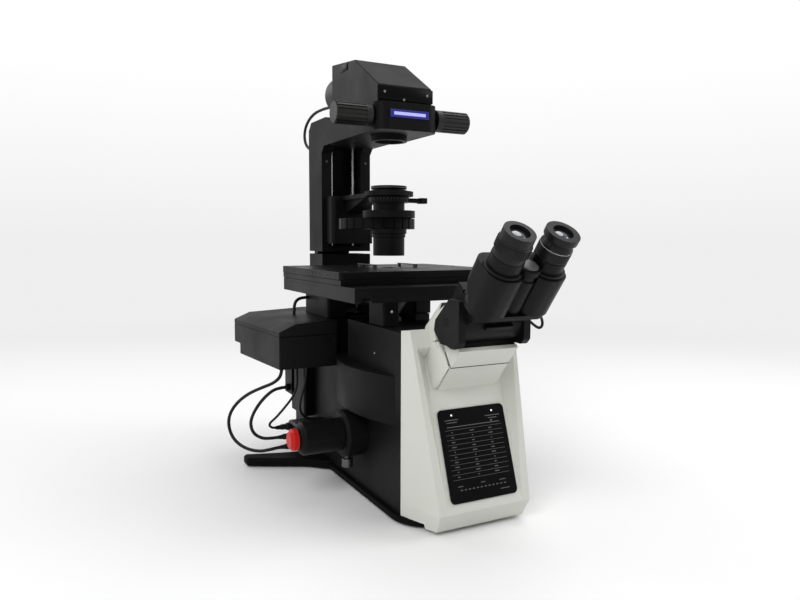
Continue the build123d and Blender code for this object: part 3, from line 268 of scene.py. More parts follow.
look = {name: makeFinish(name, values) for name, values in finishes.items()}
# Painted glow: the blue badge emits light though it is no lamp
look["badgeBlue"] = makeGlow("badgeBlue", (0.03, 0.035, 0.30), 0.55, (0.006, 0.006, 0.05))
# Painted highlight: a pale glowing strip on the badge, no lamp
look["badgeStripGlow"] = makeGlow("badgeStripGlow", (0.42, 0.44, 0.85), 0.60, (0.3, 0.3, 0.6))
look["lampWhite"] = makeGlow("lampWhite", (1.0, 0.98, 0.92), 0.9, (0.8, 0.8, 0.8))
look["lensGlass"] = makeCoatedGlass("lensGlass", (0.03, 0.035, 0.05))
bandColors = {
    "bandRed": (0.55, 0.03, 0.03), "bandYellow": (0.70, 0.50, 0.03), "bandGreen": (0.04, 0.32, 0.08),
    "bandSky": (0.10, 0.35, 0.65), "bandBlue": (0.02, 0.06, 0.40), "bandWhite": (0.75, 0.75, 0.73),
}
for bandName, bandColor in bandColors.items():
    look[bandName] = makeFinish(bandName, {"color": bandColor, "worn": bandColor, "rough": (0.35, 0.45)})
print("finishes made:", len(look))


# Camera solved from the photo's straight edges
cameraView = {
    "location": (-0.5195, -1.0445, 0.3949), "yaw": 27.39, "pitch": 5.24, "roll": 0.18,
    "focalPixels": 686.5, "imageWidth": 800, "sensor": 36.0, "centreDrop": 2.0,
}


def makeCamera(view):
    data = bpy.data.cameras.new("photoCamera")
    data.sensor_width = view["sensor"]
    data.lens = view["focalPixels"] / view["imageWidth"] * view["sensor"]
    data.shift_y = view["centreDrop"] / view["imageWidth"]
    camera = addObject("photoCamera", data)
    camera.location = view["location"]
    turn = Matrix.Rotation(-math.radians(view["yaw"]), 4, "Z")
    tip = Matrix.Rotation(math.radians(90 - view["pitch"]), 4, "X")
    lean = Matrix.Rotation(math.radians(view["roll"]), 4, "Z")
    camera.rotation_euler = (turn @ tip @ lean).to_euler()
    scene.camera = camera


makeCamera(cameraView)


# Cords: the same routes as the solids, in millimetres, with the real length and diameter in metres
cords = {
    "lamp_cord": {
        "body": "pillar", "length": 0.191, "diameter": 0.0056,
        "points": [
            (-16, 204, 648), (-16, 222, 648), (-22, 247, 648), (-31, 274, 643), (-38, 296, 627),
            (-41, 304, 605), (-41, 296, 584), (-38, 276, 571), (-38, 252, 571),
        ],
    },
    "arch_cord": {
        "body": "frame", "length": 0.050, "diameter": 0.0056,
        "points": [
            (-128, 121, 260.5), (-128, 121, 273.5), (-124, 122.5, 285), (-113, 125, 290), (-100, 125, 290),
        ],
    },
    "loop_cord": {
        "body": "frame", "length": 0.298, "diameter": 0.0056,
        "points": [
            (-172, 56, 185), (-172, 56, 168), (-182, 62, 154), (-200, 78, 144), (-217, 98, 132),
            (-232, 119, 114), (-243, 134, 91), (-244, 140, 66), (-237, 130, 44), (-222, 111, 32),
            (-203, 93, 29), (-186, 86, 32), (-172, 85, 34), (-158, 85, 34),
        ],
    },
    "bracket_cord": {
        "body": "frame", "length": 0.171, "diameter": 0.0056,
        "points": [
            (-158, 80, 140), (-174, 80, 140), (-188, 86, 130), (-200, 96, 113), (-209, 105, 94),
            (-213, 111, 75), (-208, 110, 57), (-194, 103, 48), (-176, 98, 48), (-158, 98, 48),
        ],
    },
    "tight_cord": {
        "body": "frame", "length": 0.167, "diameter": 0.0042,
        "points": [
            (-150, 44, 185), (-150, 44, 169), (-148, 48, 150), (-151, 58, 129), (-161, 73, 108),
            (-173, 89, 86.5), (-181, 98.5, 76), (-181, 103.6, 70), (-177, 108.3, 65), (-170, 111, 62),
            (-158, 111, 62),
        ],
    },
    "drop_cord": {
        "body": "frame", "length": 0.152, "diameter": 0.0042,
        "points": [
            (-138, 30, 185), (-138, 30, 168), (-140, 36, 148), (-143, 47, 125), (-141, 60, 104),
            (-130, 72, 88), (-117, 80, 80), (-106, 82, 78), (-93, 82, 78),
        ],
    },
    "stage_cord": {
        "body": "frame", "length": 0.196, "diameter": 0.0042,
        "points": [
            (118, -183, 316), (118, -202, 316), (120, -223, 311), (122, -241, 298), (123, -254, 282),
            (122, -259, 271), (120, -254, 265), (117, -243, 270), (114, -228, 280), (112, -211, 287),
            (111, -193, 288), (111, -178, 292), (111, -178, 305.5),
        ],
    },
}


def camelName(node):
    first, *rest = node.split("_")
    return first + "".join(word.capitalize() for word in rest)


cordMesh = {"around": 5, "along": 10}


def makeCord(node, route):
    curve = bpy.data.curves.new(camelName(node), "CURVE")
    curve.dimensions = "3D"
    curve.bevel_depth = route["diameter"] / 2
    curve.bevel_resolution = cordMesh["around"]
    curve.resolution_u = cordMesh["along"]
    curve.use_fill_caps = True
    spline = curve.splines.new("NURBS")
    spline.points.add(len(route["points"]) - 1)
    for point, place in zip(spline.points, route["points"]):
        point.co = (*(Vector(place) * mm), 1.0)
    spline.order_u = 3
    spline.use_endpoint_u = True
    curve.materials.append(look["cordRubber"])
    piece = addObject(camelName(node), curve)
    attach(piece, route["body"])
    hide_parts(node)


for cordNode, cordRoute in cords.items():
    makeCord(cordNode, cordRoute)
print("cords laid:", len(cords))


# A piece rides a body and takes the given finish
def addPiece(name, mesh, body, material=None):
    if material is not None:
        mesh.materials.clear()
        mesh.materials.append(material)
    piece = addObject(name, mesh)
    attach(piece, body)
    return piece


# Merge reach in metres, angles in degrees
easing = {"mergeReach": 1e-5, "flatAngle": 0.6, "sharpAngle": 32, "segments": 3}


def mergedCopy(node):
    bm = bmesh.new()
    bm.from_mesh(cadNodes[node].data)
    bmesh.ops.remove_doubles(bm, verts=bm.verts, dist=easing["mergeReach"])
    bmesh.ops.dissolve_limit(
        bm, angle_limit=math.radians(easing["flatAngle"]), verts=bm.verts, edges=bm.edges,
        use_dissolve_boundaries=False,
    )
    return takeMesh(node, bm)


def evaluatedMesh(holder):
    graph = bpy.context.evaluated_depsgraph_get()
    mesh = bpy.data.meshes.new_from_object(holder.evaluated_get(graph))
    bpy.data.objects.remove(holder)
    return mesh


# Frames with local Z along an axis or along the axis of a joint
def axisFrame(origin, axis):
    along = Vector(axis).normalized()
    across = Vector((1, 0, 0)) - along * along.x
    if across.length < 0.1:
        across = Vector((0, 1, 0)) - along * along.y
    across.normalize()
    side = along.cross(across)
    turn = Matrix((across, side, along)).transposed().to_4x4()
    return Matrix.Translation(Vector(origin)) @ turn


def jointFrame(name):
    return axisFrame(jointOf[name]["pos_m"], jointOf[name]["axis"])


# Corners of the eye tubes, rounder than in the solids: reach from the tube's axis, radii and heights
tubeRound = {
    "half": 25.5, "front": 28.0, "rear": 31.0, "frontRadius": 22.0, "rearRadius": 15.0,
    "base": 45.0, "low": 54.1, "high": 112.05, "over": 2.0, "steps": 10, "edge": 0.8,
}


def cornerOutline(sizes, sideWay, frontWay):
    radius = sizes["frontRadius"] if frontWay < 0 else sizes["rearRadius"]
    cornerX = sideWay * sizes["half"]
    cornerY = frontWay * (sizes["front"] if frontWay < 0 else sizes["rear"])
    over, steps = sizes["over"], sizes["steps"]
    outline = [(cornerX - sideWay * radius, cornerY + frontWay * over)]
    outline += [(cornerX + sideWay * over, cornerY + frontWay * over)]
    outline += [(cornerX + sideWay * over, cornerY - frontWay * radius)]
    for step in range(steps + 1):
        angle = math.pi / 2 * step / steps
        outline.append((cornerX + sideWay * radius * (math.cos(angle) - 1),
                        cornerY + frontWay * radius * (math.sin(angle) - 1)))
    return outline


def makeTubeCutter(sizes, corners, low, high):
    bm = bmesh.new()
    for tubeName, sideWay in corners:
        matrix = jointFrame("dioptre_" + tubeName)
        for frontWay in (-1, 1):
            outline = cornerOutline(sizes, sideWay, frontWay)
            rings = [
                [bm.verts.new(matrix @ (Vector((x, y, height)) * mm)) for x, y in outline]
                for height in (low, high)
            ]
            for ring in rings:
                bm.faces.new(ring)
            for index in range(len(outline)):
                after = (index + 1) % len(outline)
                bm.faces.new([rings[0][index], rings[0][after], rings[1][after], rings[1][index]])
    bmesh.ops.recalc_face_normals(bm, faces=bm.faces)
    mesh = takeMesh("tubeCutter", bm)
    shadeSmooth(mesh)
    return addObject("tubeCutter", mesh)


# Pieces that stand for CAD nodes: the same solid with its edges eased, and cut rounder where asked
def easeEdges(node, material, width, cutter=None):
    mesh = mergedCopy(node)
    shadeSmooth(mesh, easing["sharpAngle"])
    holder = addObject(node + "Holder", mesh)
    if cutter is not None:
        rounds = holder.modifiers.new("tubeRounds", "BOOLEAN")
        rounds.operation = "DIFFERENCE"
        rounds.object = cutter
    bevel = holder.modifiers.new("easedEdges", "BEVEL")
    bevel.width = width * mm
    bevel.segments = easing["segments"]
    bevel.limit_method = "ANGLE"
    bevel.angle_limit = math.radians(easing["sharpAngle"])
    bevel.miter_outer = "MITER_ARC"
    normals = holder.modifiers.new("evenShading", "WEIGHTED_NORMAL")
    normals.keep_sharp = False
    mesh = evaluatedMesh(holder)
    if cutter is not None:
        bpy.data.objects.remove(cutter)
    piece = addPiece(camelName(node), mesh, cadNodes[node]["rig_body"], material)
    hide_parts(node)
    return piece


# Node, finish and edge radius in millimetres
easedNodes = {
    "bodyBlack": {
        "main_casting": 1.5, "side_cover_left": 1.6, "stage_risers": 0.8, "port_flange": 0.8,
        "port_adapter": 0.8, "pillar_base": 1.6, "pillar": 1.6, "lamp_house": 2.0, "field_stop": 1.2,
        "cable_guides": 0.8, "condenser_carriage": 1.0, "condenser_holder": 0.8,
    },
    "baseBlack": {"base_plate": 1.5, "outriggers": 1.5},
    "unitBlack": {"focus_unit_tray": 1.6, "focus_unit_lid": 1.6},
    "tubeBlack": {"tube_yoke": 0.8},
    "stageBlack": {"stage_base": 0.8, "stage_y_carriage": 0.5, "stage_top": 0.7, "stage_insert": 0.4},
    "anodised": {
        "focus_block": 0.6, "nosepiece": 0.7, "condenser_housing": 0.5, "condenser_lens": 0.5,
        "condenser_turret": 0.4, "aperture_lever": 0.6,
    },
    "eyeBlack": {"eyepiece_left": 0.7, "eyepiece_right": 0.7},
    "knobBlack": {
        "head_knob_left": 0.25, "head_knob_right": 0.25, "condenser_knob": 0.3, "lamp_socket": 0.8,
        "connector_block": 0.8, "cable_plugs": 0.5,
    },
    "shellWhite": {"front_cover": 3.0, "neck_cap": 1.2},
    "panelGloss": {"control_panel": 0.5},
    "steel": {"objectives": 0.5},
    "darkSteel": {"specimen_clips": 0.2, "port_clamp": 0.5},
    "footRubber": {"rubber_feet": 0.6},
    "capRed": {"dust_cap": 0.6},
    "badgeBlue": {"badge": 0.3},
}
for finishName, widths in easedNodes.items():
    for easedNode, edgeWidth in widths.items():
        easeEdges(easedNode, look[finishName], edgeWidth)
for tubeSide in ("left", "right"):
    bothSides = [(tubeSide, -1), (tubeSide, 1)]
    tubeCutter = makeTubeCutter(tubeRound, bothSides, tubeRound["low"], tubeRound["high"])
    easeEdges("eye_tube_" + tubeSide, look["tubeBlack"], tubeRound["edge"], tubeCutter)
plateCutter = makeTubeCutter(tubeRound, [("left", -1), ("right", 1)], tubeRound["base"], tubeRound["low"])
easeEdges("tilt_block", look["tubeBlack"], tubeRound["edge"], plateCutter)

# Inner pieces keep their CAD mesh and get a finish only
plainNodes = {
    "guide_rods": "steel", "pivot_pins": "anodised", "filter_turret": "anodised", "filter_shaft": "steel",
    "optics_mounts": "anodised", "path_optics": "lensGlass",
}
for plainNode, finishName in plainNodes.items():
    cadNodes[plainNode].data.materials.clear()
    cadNodes[plainNode].data.materials.append(look[finishName])
print("solids dressed")


# Geometry node trees for what repeats
def newTree(name, inputs):
    tree = bpy.data.node_groups.new(name, "GeometryNodeTree")
    tree.interface.new_socket("Geometry", in_out="INPUT", socket_type="NodeSocketGeometry")
    for label, kind, value in inputs:
        socket = tree.interface.new_socket(label, in_out="INPUT", socket_type=kind)
        if value is not None:
            socket.default_value = value
    tree.interface.new_socket("Geometry", in_out="OUTPUT", socket_type="NodeSocketGeometry")
    return tree, tree.nodes.new("NodeGroupInput"), tree.nodes.new("NodeGroupOutput")


def endTree(tree, given, result, spread, movable=True):
    realize = tree.nodes.new("GeometryNodeRealizeInstances")
    paint = tree.nodes.new("GeometryNodeSetMaterial")
    wire(tree, (spread, "Instances", realize, "Geometry"))
    last = realize
    if movable:
        last = tree.nodes.new("GeometryNodeTransform")
        wire(
            tree, (realize, "Geometry", last, "Geometry"), (given, "Place", last, "Translation"),
            (given, "Turn", last, "Rotation"),
        )
    wire(
        tree, (last, "Geometry", paint, "Geometry"), (given, "Material", paint, "Material"),
        (paint, "Geometry", result, "Geometry"),
    )


placeInputs = [
    ("Place", "NodeSocketVector", (0.0, 0.0, 0.0)), ("Turn", "NodeSocketRotation", None),
    ("Material", "NodeSocketMaterial", None),
]


# Bars standing round a circle, for knurled grips and dial marks
def makeRibRing():
    tree, given, result = newTree("ribRing", [
        ("Count", "NodeSocketInt", 30), ("Radius", "NodeSocketFloat", 0.02),
        ("Bar", "NodeSocketVector", (0.001, 0.001, 0.01)), *placeInputs,
    ])
    circle = tree.nodes.new("GeometryNodeMeshCircle")
    bar = tree.nodes.new("GeometryNodeMeshCube")
    spread = tree.nodes.new("GeometryNodeInstanceOnPoints")
    spot = tree.nodes.new("GeometryNodeInputPosition")
    face = tree.nodes.new("FunctionNodeAlignRotationToVector")
    face.axis = "X"
    face.pivot_axis = "Z"
    wire(
        tree, (given, "Count", circle, "Vertices"), (given, "Radius", circle, "Radius"),
        (given, "Bar", bar, "Size"), (spot, "Position", face, "Vector"), (circle, "Mesh", spread, "Points"),
        (bar, "Mesh", spread, "Instance"), (face, "Rotation", spread, "Rotation"),
    )
    endTree(tree, given, result, spread)
    return tree


# Equal bars in a straight row, for printed lines and scale marks
def makeBarRow():
    tree, given, result = newTree("barRow", [
        ("Count", "NodeSocketInt", 10), ("Start", "NodeSocketVector", (0.0, 0.0, 0.0)),
        ("Step", "NodeSocketVector", (0.0, 0.01, 0.0)), ("Bar", "NodeSocketVector", (0.01, 0.001, 0.001)),
        *placeInputs,
    ])
    line = tree.nodes.new("GeometryNodeMeshLine")
    bar = tree.nodes.new("GeometryNodeMeshCube")
    spread = tree.nodes.new("GeometryNodeInstanceOnPoints")
    wire(
        tree, (given, "Count", line, "Count"), (given, "Start", line, "Start Location"),
        (given, "Step", line, "Offset"), (given, "Bar", bar, "Size"), (line, "Mesh", spread, "Points"),
        (bar, "Mesh", spread, "Instance"),
    )
    endTree(tree, given, result, spread)
    return tree


# Socket head screws on points that carry the way they face, with the well's depth as a share of the head's
screwHead = {"sides": 18, "wellDepth": 0.8}


def makeScrewSet():
    tree, given, result = newTree("screwSet", [
        ("Radius", "NodeSocketFloat", 0.0025), ("Height", "NodeSocketFloat", 0.001),
        ("Socket Share", "NodeSocketFloat", 0.55), ("Material", "NodeSocketMaterial", None),
    ])
    rim = tree.nodes.new("GeometryNodeMeshCircle")
    rim.fill_type = "NGON"
    setInputs(rim, {"Vertices": screwHead["sides"]})
    head = tree.nodes.new("GeometryNodeExtrudeMesh")
    lip = tree.nodes.new("GeometryNodeExtrudeMesh")
    setInputs(lip, {"Offset Scale": 0.0})
    shrink = tree.nodes.new("GeometryNodeScaleElements")
    well = tree.nodes.new("GeometryNodeExtrudeMesh")
    depth = tree.nodes.new("ShaderNodeMath")
    depth.operation = "MULTIPLY"
    setInputs(depth, {1: -screwHead["wellDepth"]})
    facing = tree.nodes.new("GeometryNodeInputNamedAttribute")
    facing.data_type = "FLOAT_VECTOR"
    setInputs(facing, {"Name": "facing"})
    turn = tree.nodes.new("FunctionNodeAlignRotationToVector")
    turn.axis = "Z"
    spread = tree.nodes.new("GeometryNodeInstanceOnPoints")
    wire(
        tree, (given, "Radius", rim, "Radius"), (rim, "Mesh", head, "Mesh"),
        (given, "Height", head, "Offset Scale"), (head, "Mesh", lip, "Mesh"),
        (head, "Top", lip, "Selection"), (lip, "Mesh", shrink, "Geometry"),
        (lip, "Top", shrink, "Selection"), (given, "Socket Share", shrink, "Scale"),
        (shrink, "Geometry", well, "Mesh"), (lip, "Top", well, "Selection"), (given, "Height", depth, 0),
        (depth, "Value", well, "Offset Scale"), (facing, "Attribute", turn, "Vector"),
        (given, "Geometry", spread, "Points"), (well, "Mesh", spread, "Instance"),
        (turn, "Rotation", spread, "Rotation"),
    )
    endTree(tree, given, result, spread, movable=False)
    return tree


ribRing = makeRibRing()
barRow = makeBarRow()
screwSet = makeScrewSet()


def inputId(tree, label):
    for item in tree.interface.items_tree:
        if item.item_type == "SOCKET" and item.in_out == "INPUT" and item.name == label:
            return item.identifier
    raise KeyError(label)


def grow(name, tree, values, body, seed=None):
    holder = addObject(name + "Holder", seed or bpy.data.meshes.new(name + "Seed"))
    modifier = holder.modifiers.new(tree.name, "NODES")
    modifier.node_group = tree
    for label, value in values.items():
        modifier[inputId(tree, label)] = value
    return addPiece(name, evaluatedMesh(holder), body)


def placed(matrix):
    return {"Place": tuple(matrix.translation), "Turn": tuple(matrix.to_euler())}


def driveScrews(name, spots, radius, height, material, body):
    seed = bpy.data.meshes.new(name + "Spots")
    seed.from_pydata([Vector(place) * mm for place, _ in spots], [], [])
    facing = seed.attributes.new("facing", "FLOAT_VECTOR", "POINT")
    facing.data.foreach_set("vector", [value for _, way in spots for value in way])
    sizes = {"Radius": radius * mm, "Height": height * mm, "Material": material}
    return grow(name, screwSet, sizes, body, seed)


# Turned pieces: a profile of (radius, height) in millimetres spun about the local Z axis
pieceMesh = {"mergeReach": 1e-7, "sharpAngle": 35, "segments": 48}


def lathe(bm, profile, matrix, segments):
    rings = []
    for radius, height in profile:
        ring = []
        for index in range(segments if radius > 0 else 1):
            angle = 2 * math.pi * index / segments
            spot = Vector((radius * math.cos(angle), radius * math.sin(angle), height)) * mm
            ring.append(bm.verts.new(matrix @ spot))
        rings.append(ring)
    for low, high in zip(rings, rings[1:]):
        for index in range(segments):
            after = (index + 1) % segments
            corners = [low[index % len(low)], low[after % len(low)]]
            corners += [high[after % len(high)], high[index % len(high)]]
            bm.faces.new(list(dict.fromkeys(corners)))


def turned(name, profiles, body, material, segments=pieceMesh["segments"]):
    bm = bmesh.new()
    for profile, matrix in profiles:
        lathe(bm, profile, matrix, segments)
    return fromBm(name, bm, body, material)


def fromBm(name, bm, body, material):
    bmesh.ops.remove_doubles(bm, verts=bm.verts, dist=pieceMesh["mergeReach"])
    bmesh.ops.recalc_face_normals(bm, faces=bm.faces)
    mesh = takeMesh(name, bm)
    shadeSmooth(mesh, pieceMesh["sharpAngle"])
    return addPiece(name, mesh, body, material)


def addBox(bm, low, high, matrix=Matrix.Identity(4), bevel=0.0):
    middle = (Vector(low) + Vector(high)) / 2 * mm
    size = (Vector(high) - Vector(low)) * mm
    place = matrix @ Matrix.Translation(middle) @ Matrix.Diagonal((*size, 1.0))
    made = bmesh.ops.create_cube(bm, size=1.0, matrix=place)
    if bevel:
        edges = list({edge for vert in made["verts"] for edge in vert.link_edges})
        bmesh.ops.bevel(bm, geom=edges, offset=bevel * mm, segments=2, affect="EDGES", profile=0.5)


# Frame at the centre of a node's flat face that looks the given way, with local Z outward
facingPower = 8


def faceFrame(node, toward):
    mesh = mergedCopy(node)
    way = Vector(toward).normalized()
    best = max(
        mesh.polygons, key=lambda polygon: polygon.area * max(0.0, polygon.normal.dot(way)) ** facingPower,
    )
    turn = axisFrame((0, 0, 0), best.normal)
    local = [turn.to_3x3().transposed() @ mesh.vertices[index].co for index in best.vertices]
    low = Vector(min(point[axis] for point in local) for axis in range(3))
    high = Vector(max(point[axis] for point in local) for axis in range(3))
    centre = turn.to_3x3() @ ((low + high) / 2)
    bpy.data.meshes.remove(mesh)
    return Matrix.Translation(centre) @ turn


# Eyepieces: glass, knurled ring, marks and rims, with heights along the tube in millimetres
eyepiece = {
    "left": {"ribCount": 44, "ribRadius": 21.6, "ribMid": 146.0, "ribLength": 12.0},
    "right": {"ribCount": 44, "ribRadius": 20.8, "ribMid": 139.2, "ribLength": 11.0},
}
# The lens's curve in shares of its radius and crown
eyeLens = {
    "radius": 12.6, "low": 160.4, "crown": 3.8, "edge": 0.4, "curve": [(0.75, 0.6), (0.4, 0.92)],
    "seatWall": 0.5, "seatLip": 0.6, "seatHeights": (-0.1, 0.5, 1.0),
}
tubeTrim = {
    "ribBar": (1.4, 1.5), "collar": [(24.4, 112.6), (25.3, 113.0), (25.3, 115.2), (24.4, 115.6)],
    "rightLine": [(20.9, 146.2), (21.15, 146.2), (21.15, 146.8), (20.9, 146.8)],
    "shaftDisc": [(0, 122.6), (10.4, 122.6), (11.2, 122.2), (11.2, 121.8), (0, 121.8)],
    "leftGrip": [(20.8, 139.4), (21.6, 139.8), (21.6, 152.2), (20.8, 152.6)],
    "shaftSleeve": [(12.8, 55.0), (14.8, 55.0), (14.8, 104.6), (12.8, 104.6)],
    "tabLow": (-16.0, 2.0, 10.0), "tabHigh": (28.0, 9.0, 16.0), "tabRound": 1.0,
}


def dressEyepieces():
    low, radius, crown = eyeLens["low"], eyeLens["radius"], eyeLens["crown"]
    wall, lip = radius + eyeLens["seatWall"], radius - eyeLens["seatLip"]
    glass = [(radius, low), (radius, low + eyeLens["edge"])]
    glass += [(radius * out, low + crown * up) for out, up in eyeLens["curve"]] + [(0, low + crown)]
    foot, step, top = (low + height for height in eyeLens["seatHeights"])
    seat = [(radius, foot), (wall, foot), (wall, top), (lip, top), (lip, step), (radius, foot)]
    for side, sizes in eyepiece.items():
        axis = jointFrame("dioptre_" + side)
        body = "ocular_" + side
        turned(side + "EyeLens", [(glass, axis)], body, look["lensGlass"])
        grow(side + "EyeRibs", ribRing, {
            "Count": sizes["ribCount"], "Radius": sizes["ribRadius"] * mm,
            "Bar": inMetres(*tubeTrim["ribBar"], sizes["ribLength"]), "Material": look["eyeBlack"],
            **placed(axis @ shift(0, 0, sizes["ribMid"])),
        }, body)
        turned(side + "LensSeat", [(seat, axis)], body, look["darkSteel"])
        turned(side + "TubeCollar", [(tubeTrim["collar"], axis)], "tube_" + side,
               look["eyeBlack"], segments=72)
    turned("rightRingLine", [(tubeTrim["rightLine"], jointFrame("dioptre_right"))], "ocular_right",
           look["printWhite"])
    turned("leftGrip", [(tubeTrim["leftGrip"], jointFrame("dioptre_left"))], "ocular_left",
           look["eyeBlack"], segments=72)
    shaft = jointFrame("tube_left_swing")
    turned("shaftSleeve", [(tubeTrim["shaftSleeve"], shaft)], "tilt",
           look["tubeBlack"], segments=64)
    turned("shaftDisc", [(tubeTrim["shaftDisc"], shaft)], "tilt", look["paleGrey"])
    bm = bmesh.new()
    addBox(bm, tubeTrim["tabLow"], tubeTrim["tabHigh"], shaft, tubeTrim["tabRound"])
    fromBm("drumTab", bm, "tilt", look["tubeBlack"])


dressEyepieces()
print("eyepieces dressed")


# Control panel: printed lines, marks and small lamps on its sloped face
panelPrint = {
    "proud": 0.16, "rows": {"count": 11, "top": 34.0, "step": 6.6, "width": 92.0, "height": 0.42},
    "ticks": {"count": 12, "step": 6.4, "size": (3.4, 1.3), "level": -46.0},
    "entries": {
        "columns": [-36.0, -4.0, 26.0], "height": 1.2, "shortest": 2.2, "growth": 1.6, "pattern": (5, 3, 4),
    },
    "barHalf": 0.5,
    "headBars": [
        (-34.0, 47.5, 22.0), (-34.0, 44.0, 16.0), (33.0, 47.5, 24.0), (33.0, 44.0, 14.0), (0.0, 38.0, 86.0),
    ],
    "footBars": [(-36.0, -41.0, 8.0), (0.0, -40.0, 7.0), (32.0, -41.0, 10.0), (34.0, -53.0, 15.0)],
    "toward": (0, -1, 0.35), "lampRadius": 1.2, "lampShoulder": 0.6, "lampHeights": (0.4, 0.9, 1.1),
    "lamps": [(-33.0, 54.0), (33.0, 54.0)], "dullLamp": [(30.0, 40.5)],
}


def dressPanel(sizes):
    face = faceFrame("control_panel", sizes["toward"])
    proud = sizes["proud"]
    rows, ticks, entries = sizes["rows"], sizes["ticks"], sizes["entries"]
    common = {"Material": look["printGrey"], **placed(face)}
    grow("panelRows", barRow, {
        "Count": rows["count"], "Start": inMetres(0, rows["top"], 0), "Step": inMetres(0, -rows["step"], 0),
        "Bar": inMetres(rows["width"], rows["height"], proud), **common,
    }, "frame")
    grow("panelTicks", barRow, {
        "Count": ticks["count"],
        "Start": inMetres(-ticks["step"] * (ticks["count"] - 1) / 2, ticks["level"], 0),
        "Step": inMetres(ticks["step"], 0, 0), "Bar": inMetres(*ticks["size"], proud), **common,
    }, "frame")
    bm = bmesh.new()
    for x, y, width in sizes["headBars"] + sizes["footBars"]:
        half = sizes["barHalf"]
        addBox(bm, (x - width / 2, y - half, 0), (x + width / 2, y + half, proud), face)
    rowStep, columnStep, lengths = entries["pattern"]
    for row in range(rows["count"] - 1):
        level = rows["top"] - rows["step"] * (row + 0.5)
        for column, middle in enumerate(entries["columns"]):
            grade = (row * rowStep + column * columnStep) % lengths
            half = (entries["shortest"] + grade * entries["growth"]) / 2
            low = level - entries["height"] / 2
            addBox(bm, (middle - half, low, 0), (middle + half, low + entries["height"], proud), face)
    fromBm("panelMarks", bm, "frame", look["printGrey"])
    radius = sizes["lampRadius"]
    rim, shoulder, crown = sizes["lampHeights"]
    dome = [(radius, 0), (radius, rim), (radius * sizes["lampShoulder"], shoulder), (0, crown)]
    for name, spots, finish in (
        ("panelLamps", sizes["lamps"], "lampWhite"), ("panelDullLamp", sizes["dullLamp"], "paleGrey"),
    ):
        domes = [(dome, face @ shift(x, y, 0)) for x, y in spots]
        turned(name, domes, "frame", look[finish], segments=24)


# Dark line of the seam between cover and neck cap, across the front and up both sides
capSeam = {
    "front": (-279.0, 224.5), "back": (-258.0, 254.0), "half": 47.0, "width": 0.9, "proud": 0.12,
    "sunk": 0.2, "sideStop": 12.0, "ahead": 0.45, "behind": 0.4,
}


def dressSeam(sizes):
    bm = bmesh.new()
    frontY, frontZ = sizes["front"]
    rise = Vector((0, sizes["back"][0] - frontY, sizes["back"][1] - frontZ))
    along = axisFrame(Vector((0, frontY, frontZ)) * mm, rise)
    half, reach = sizes["half"], sizes["width"] / 2
    for side in (-1, 1):
        x0, x1 = sorted((side * (half - sizes["sunk"]), side * (half + sizes["proud"])))
        addBox(bm, (x0, -reach, 0), (x1, reach, rise.length - sizes["sideStop"]), along)
    addBox(bm, (-half, -reach, -sizes["ahead"]), (half, reach, sizes["behind"]), along)
    fromBm("capSeam", bm, "frame", look["seamDark"])


# Cheeks that carry the neck's sides on down from the ears into the cover: inner x, then (outer x, y, z)
neckCheek = {
    "inner": 46.0, "round": 2.5, "segments": 3, "flatAngle": 1,
    "corners": [(57, -226, 193), (57, -226, 258), (57, -250, 258), (55.5, -256, 258), (49.5, -277, 225),
                (54.5, -246, 191)],
}


def dressNeck(sizes):
    bm = bmesh.new()
    for side in (-1, 1):
        spots = []
        for outer, y, z in sizes["corners"]:
            spots += [bm.verts.new(Vector((side * x, y, z)) * mm) for x in (sizes["inner"], outer)]
        bmesh.ops.convex_hull(bm, input=spots)
    flat = math.radians(sizes["flatAngle"])
    bmesh.ops.dissolve_limit(bm, angle_limit=flat, verts=bm.verts, edges=bm.edges)
    bmesh.ops.bevel(
        bm, geom=bm.edges[:], offset=sizes["round"] * mm, segments=sizes["segments"], affect="EDGES",
        profile=0.5,
    )
    fromBm("neckCheeks", bm, "frame", look["shellWhite"])


dressNeck(neckCheek)
dressSeam(capSeam)
dressPanel(panelPrint)
print("panel printed")


# Screws, each set on the body that carries it
screwSpots = {
    "stageSideScrews": {
        "body": "stage_x", "radius": 1.5, "height": 0.5, "finish": "darkSteel", "slot": "stage_top",
        "spots": [((-144.5, -112 + 32 * index, 341.3), (-1, 0, 0)) for index in range(8)]
        + [((144.5, -112 + 32 * index, 341.3), (1, 0, 0)) for index in range(8)],
    },
    "stageTopScrews": {
        "body": "stage_x", "radius": 2.4, "height": 0.6, "finish": "darkSteel", "slot": "stage_top",
        "spots": [((x, y, 347), (0, 0, 1)) for x in (-128, 128) for y in (-116, 0, 116)],
    },
    "riserScrews": {
        "body": "frame", "radius": 2.0, "height": 1.0, "finish": "steel", "slot": "pivot_pins",
        "spots": [((-75, -160, 290), (0, -1, 0)), ((75, -160, 290), (0, -1, 0))],
    },
    "unitScrews": {
        "body": "frame", "radius": 2.2, "height": 0.8, "finish": "anodised", "slot": "pivot_pins",
        "spots": [((-168, 5, 228), (0, -1, 0)), ((-106, 5, 228), (0, -1, 0)),
                  ((-168, 5, 197), (0, -1, 0)), ((-106, 5, 197), (0, -1, 0))],
    },
    "wallScrew": {
        "body": "frame", "radius": 1.8, "height": 0.8, "finish": "steel", "slot": "pivot_pins",
        "spots": [((-93, -142, 228), (-1, 0, 0))],
    },
    "headScrews": {
        "body": "pillar", "radius": 2.0, "height": 0.7, "finish": "steel", "slot": "guide_rods",
        "spots": [((-38, -61, 624), (0, -1, 0)), ((38, -61, 624), (0, -1, 0)), ((-4, -61, 614), (0, -1, 0))],
    },
    "pillarScrews": {
        "body": "pillar", "radius": 2.6, "height": 1.0, "finish": "darkSteel", "slot": "guide_rods",
        "spots": [((x, 183, z), (0, -1, 0)) for x in (-40, 40) for z in (392, 540)],
    },
    "holderScrews": {
        "body": "carriage", "radius": 2.2, "height": 1.6, "finish": "steel", "slot": "condenser_holder",
        "spots": [((x, 128, 474), (0, 0, 1)) for x in (-13, 13)],
    },
}


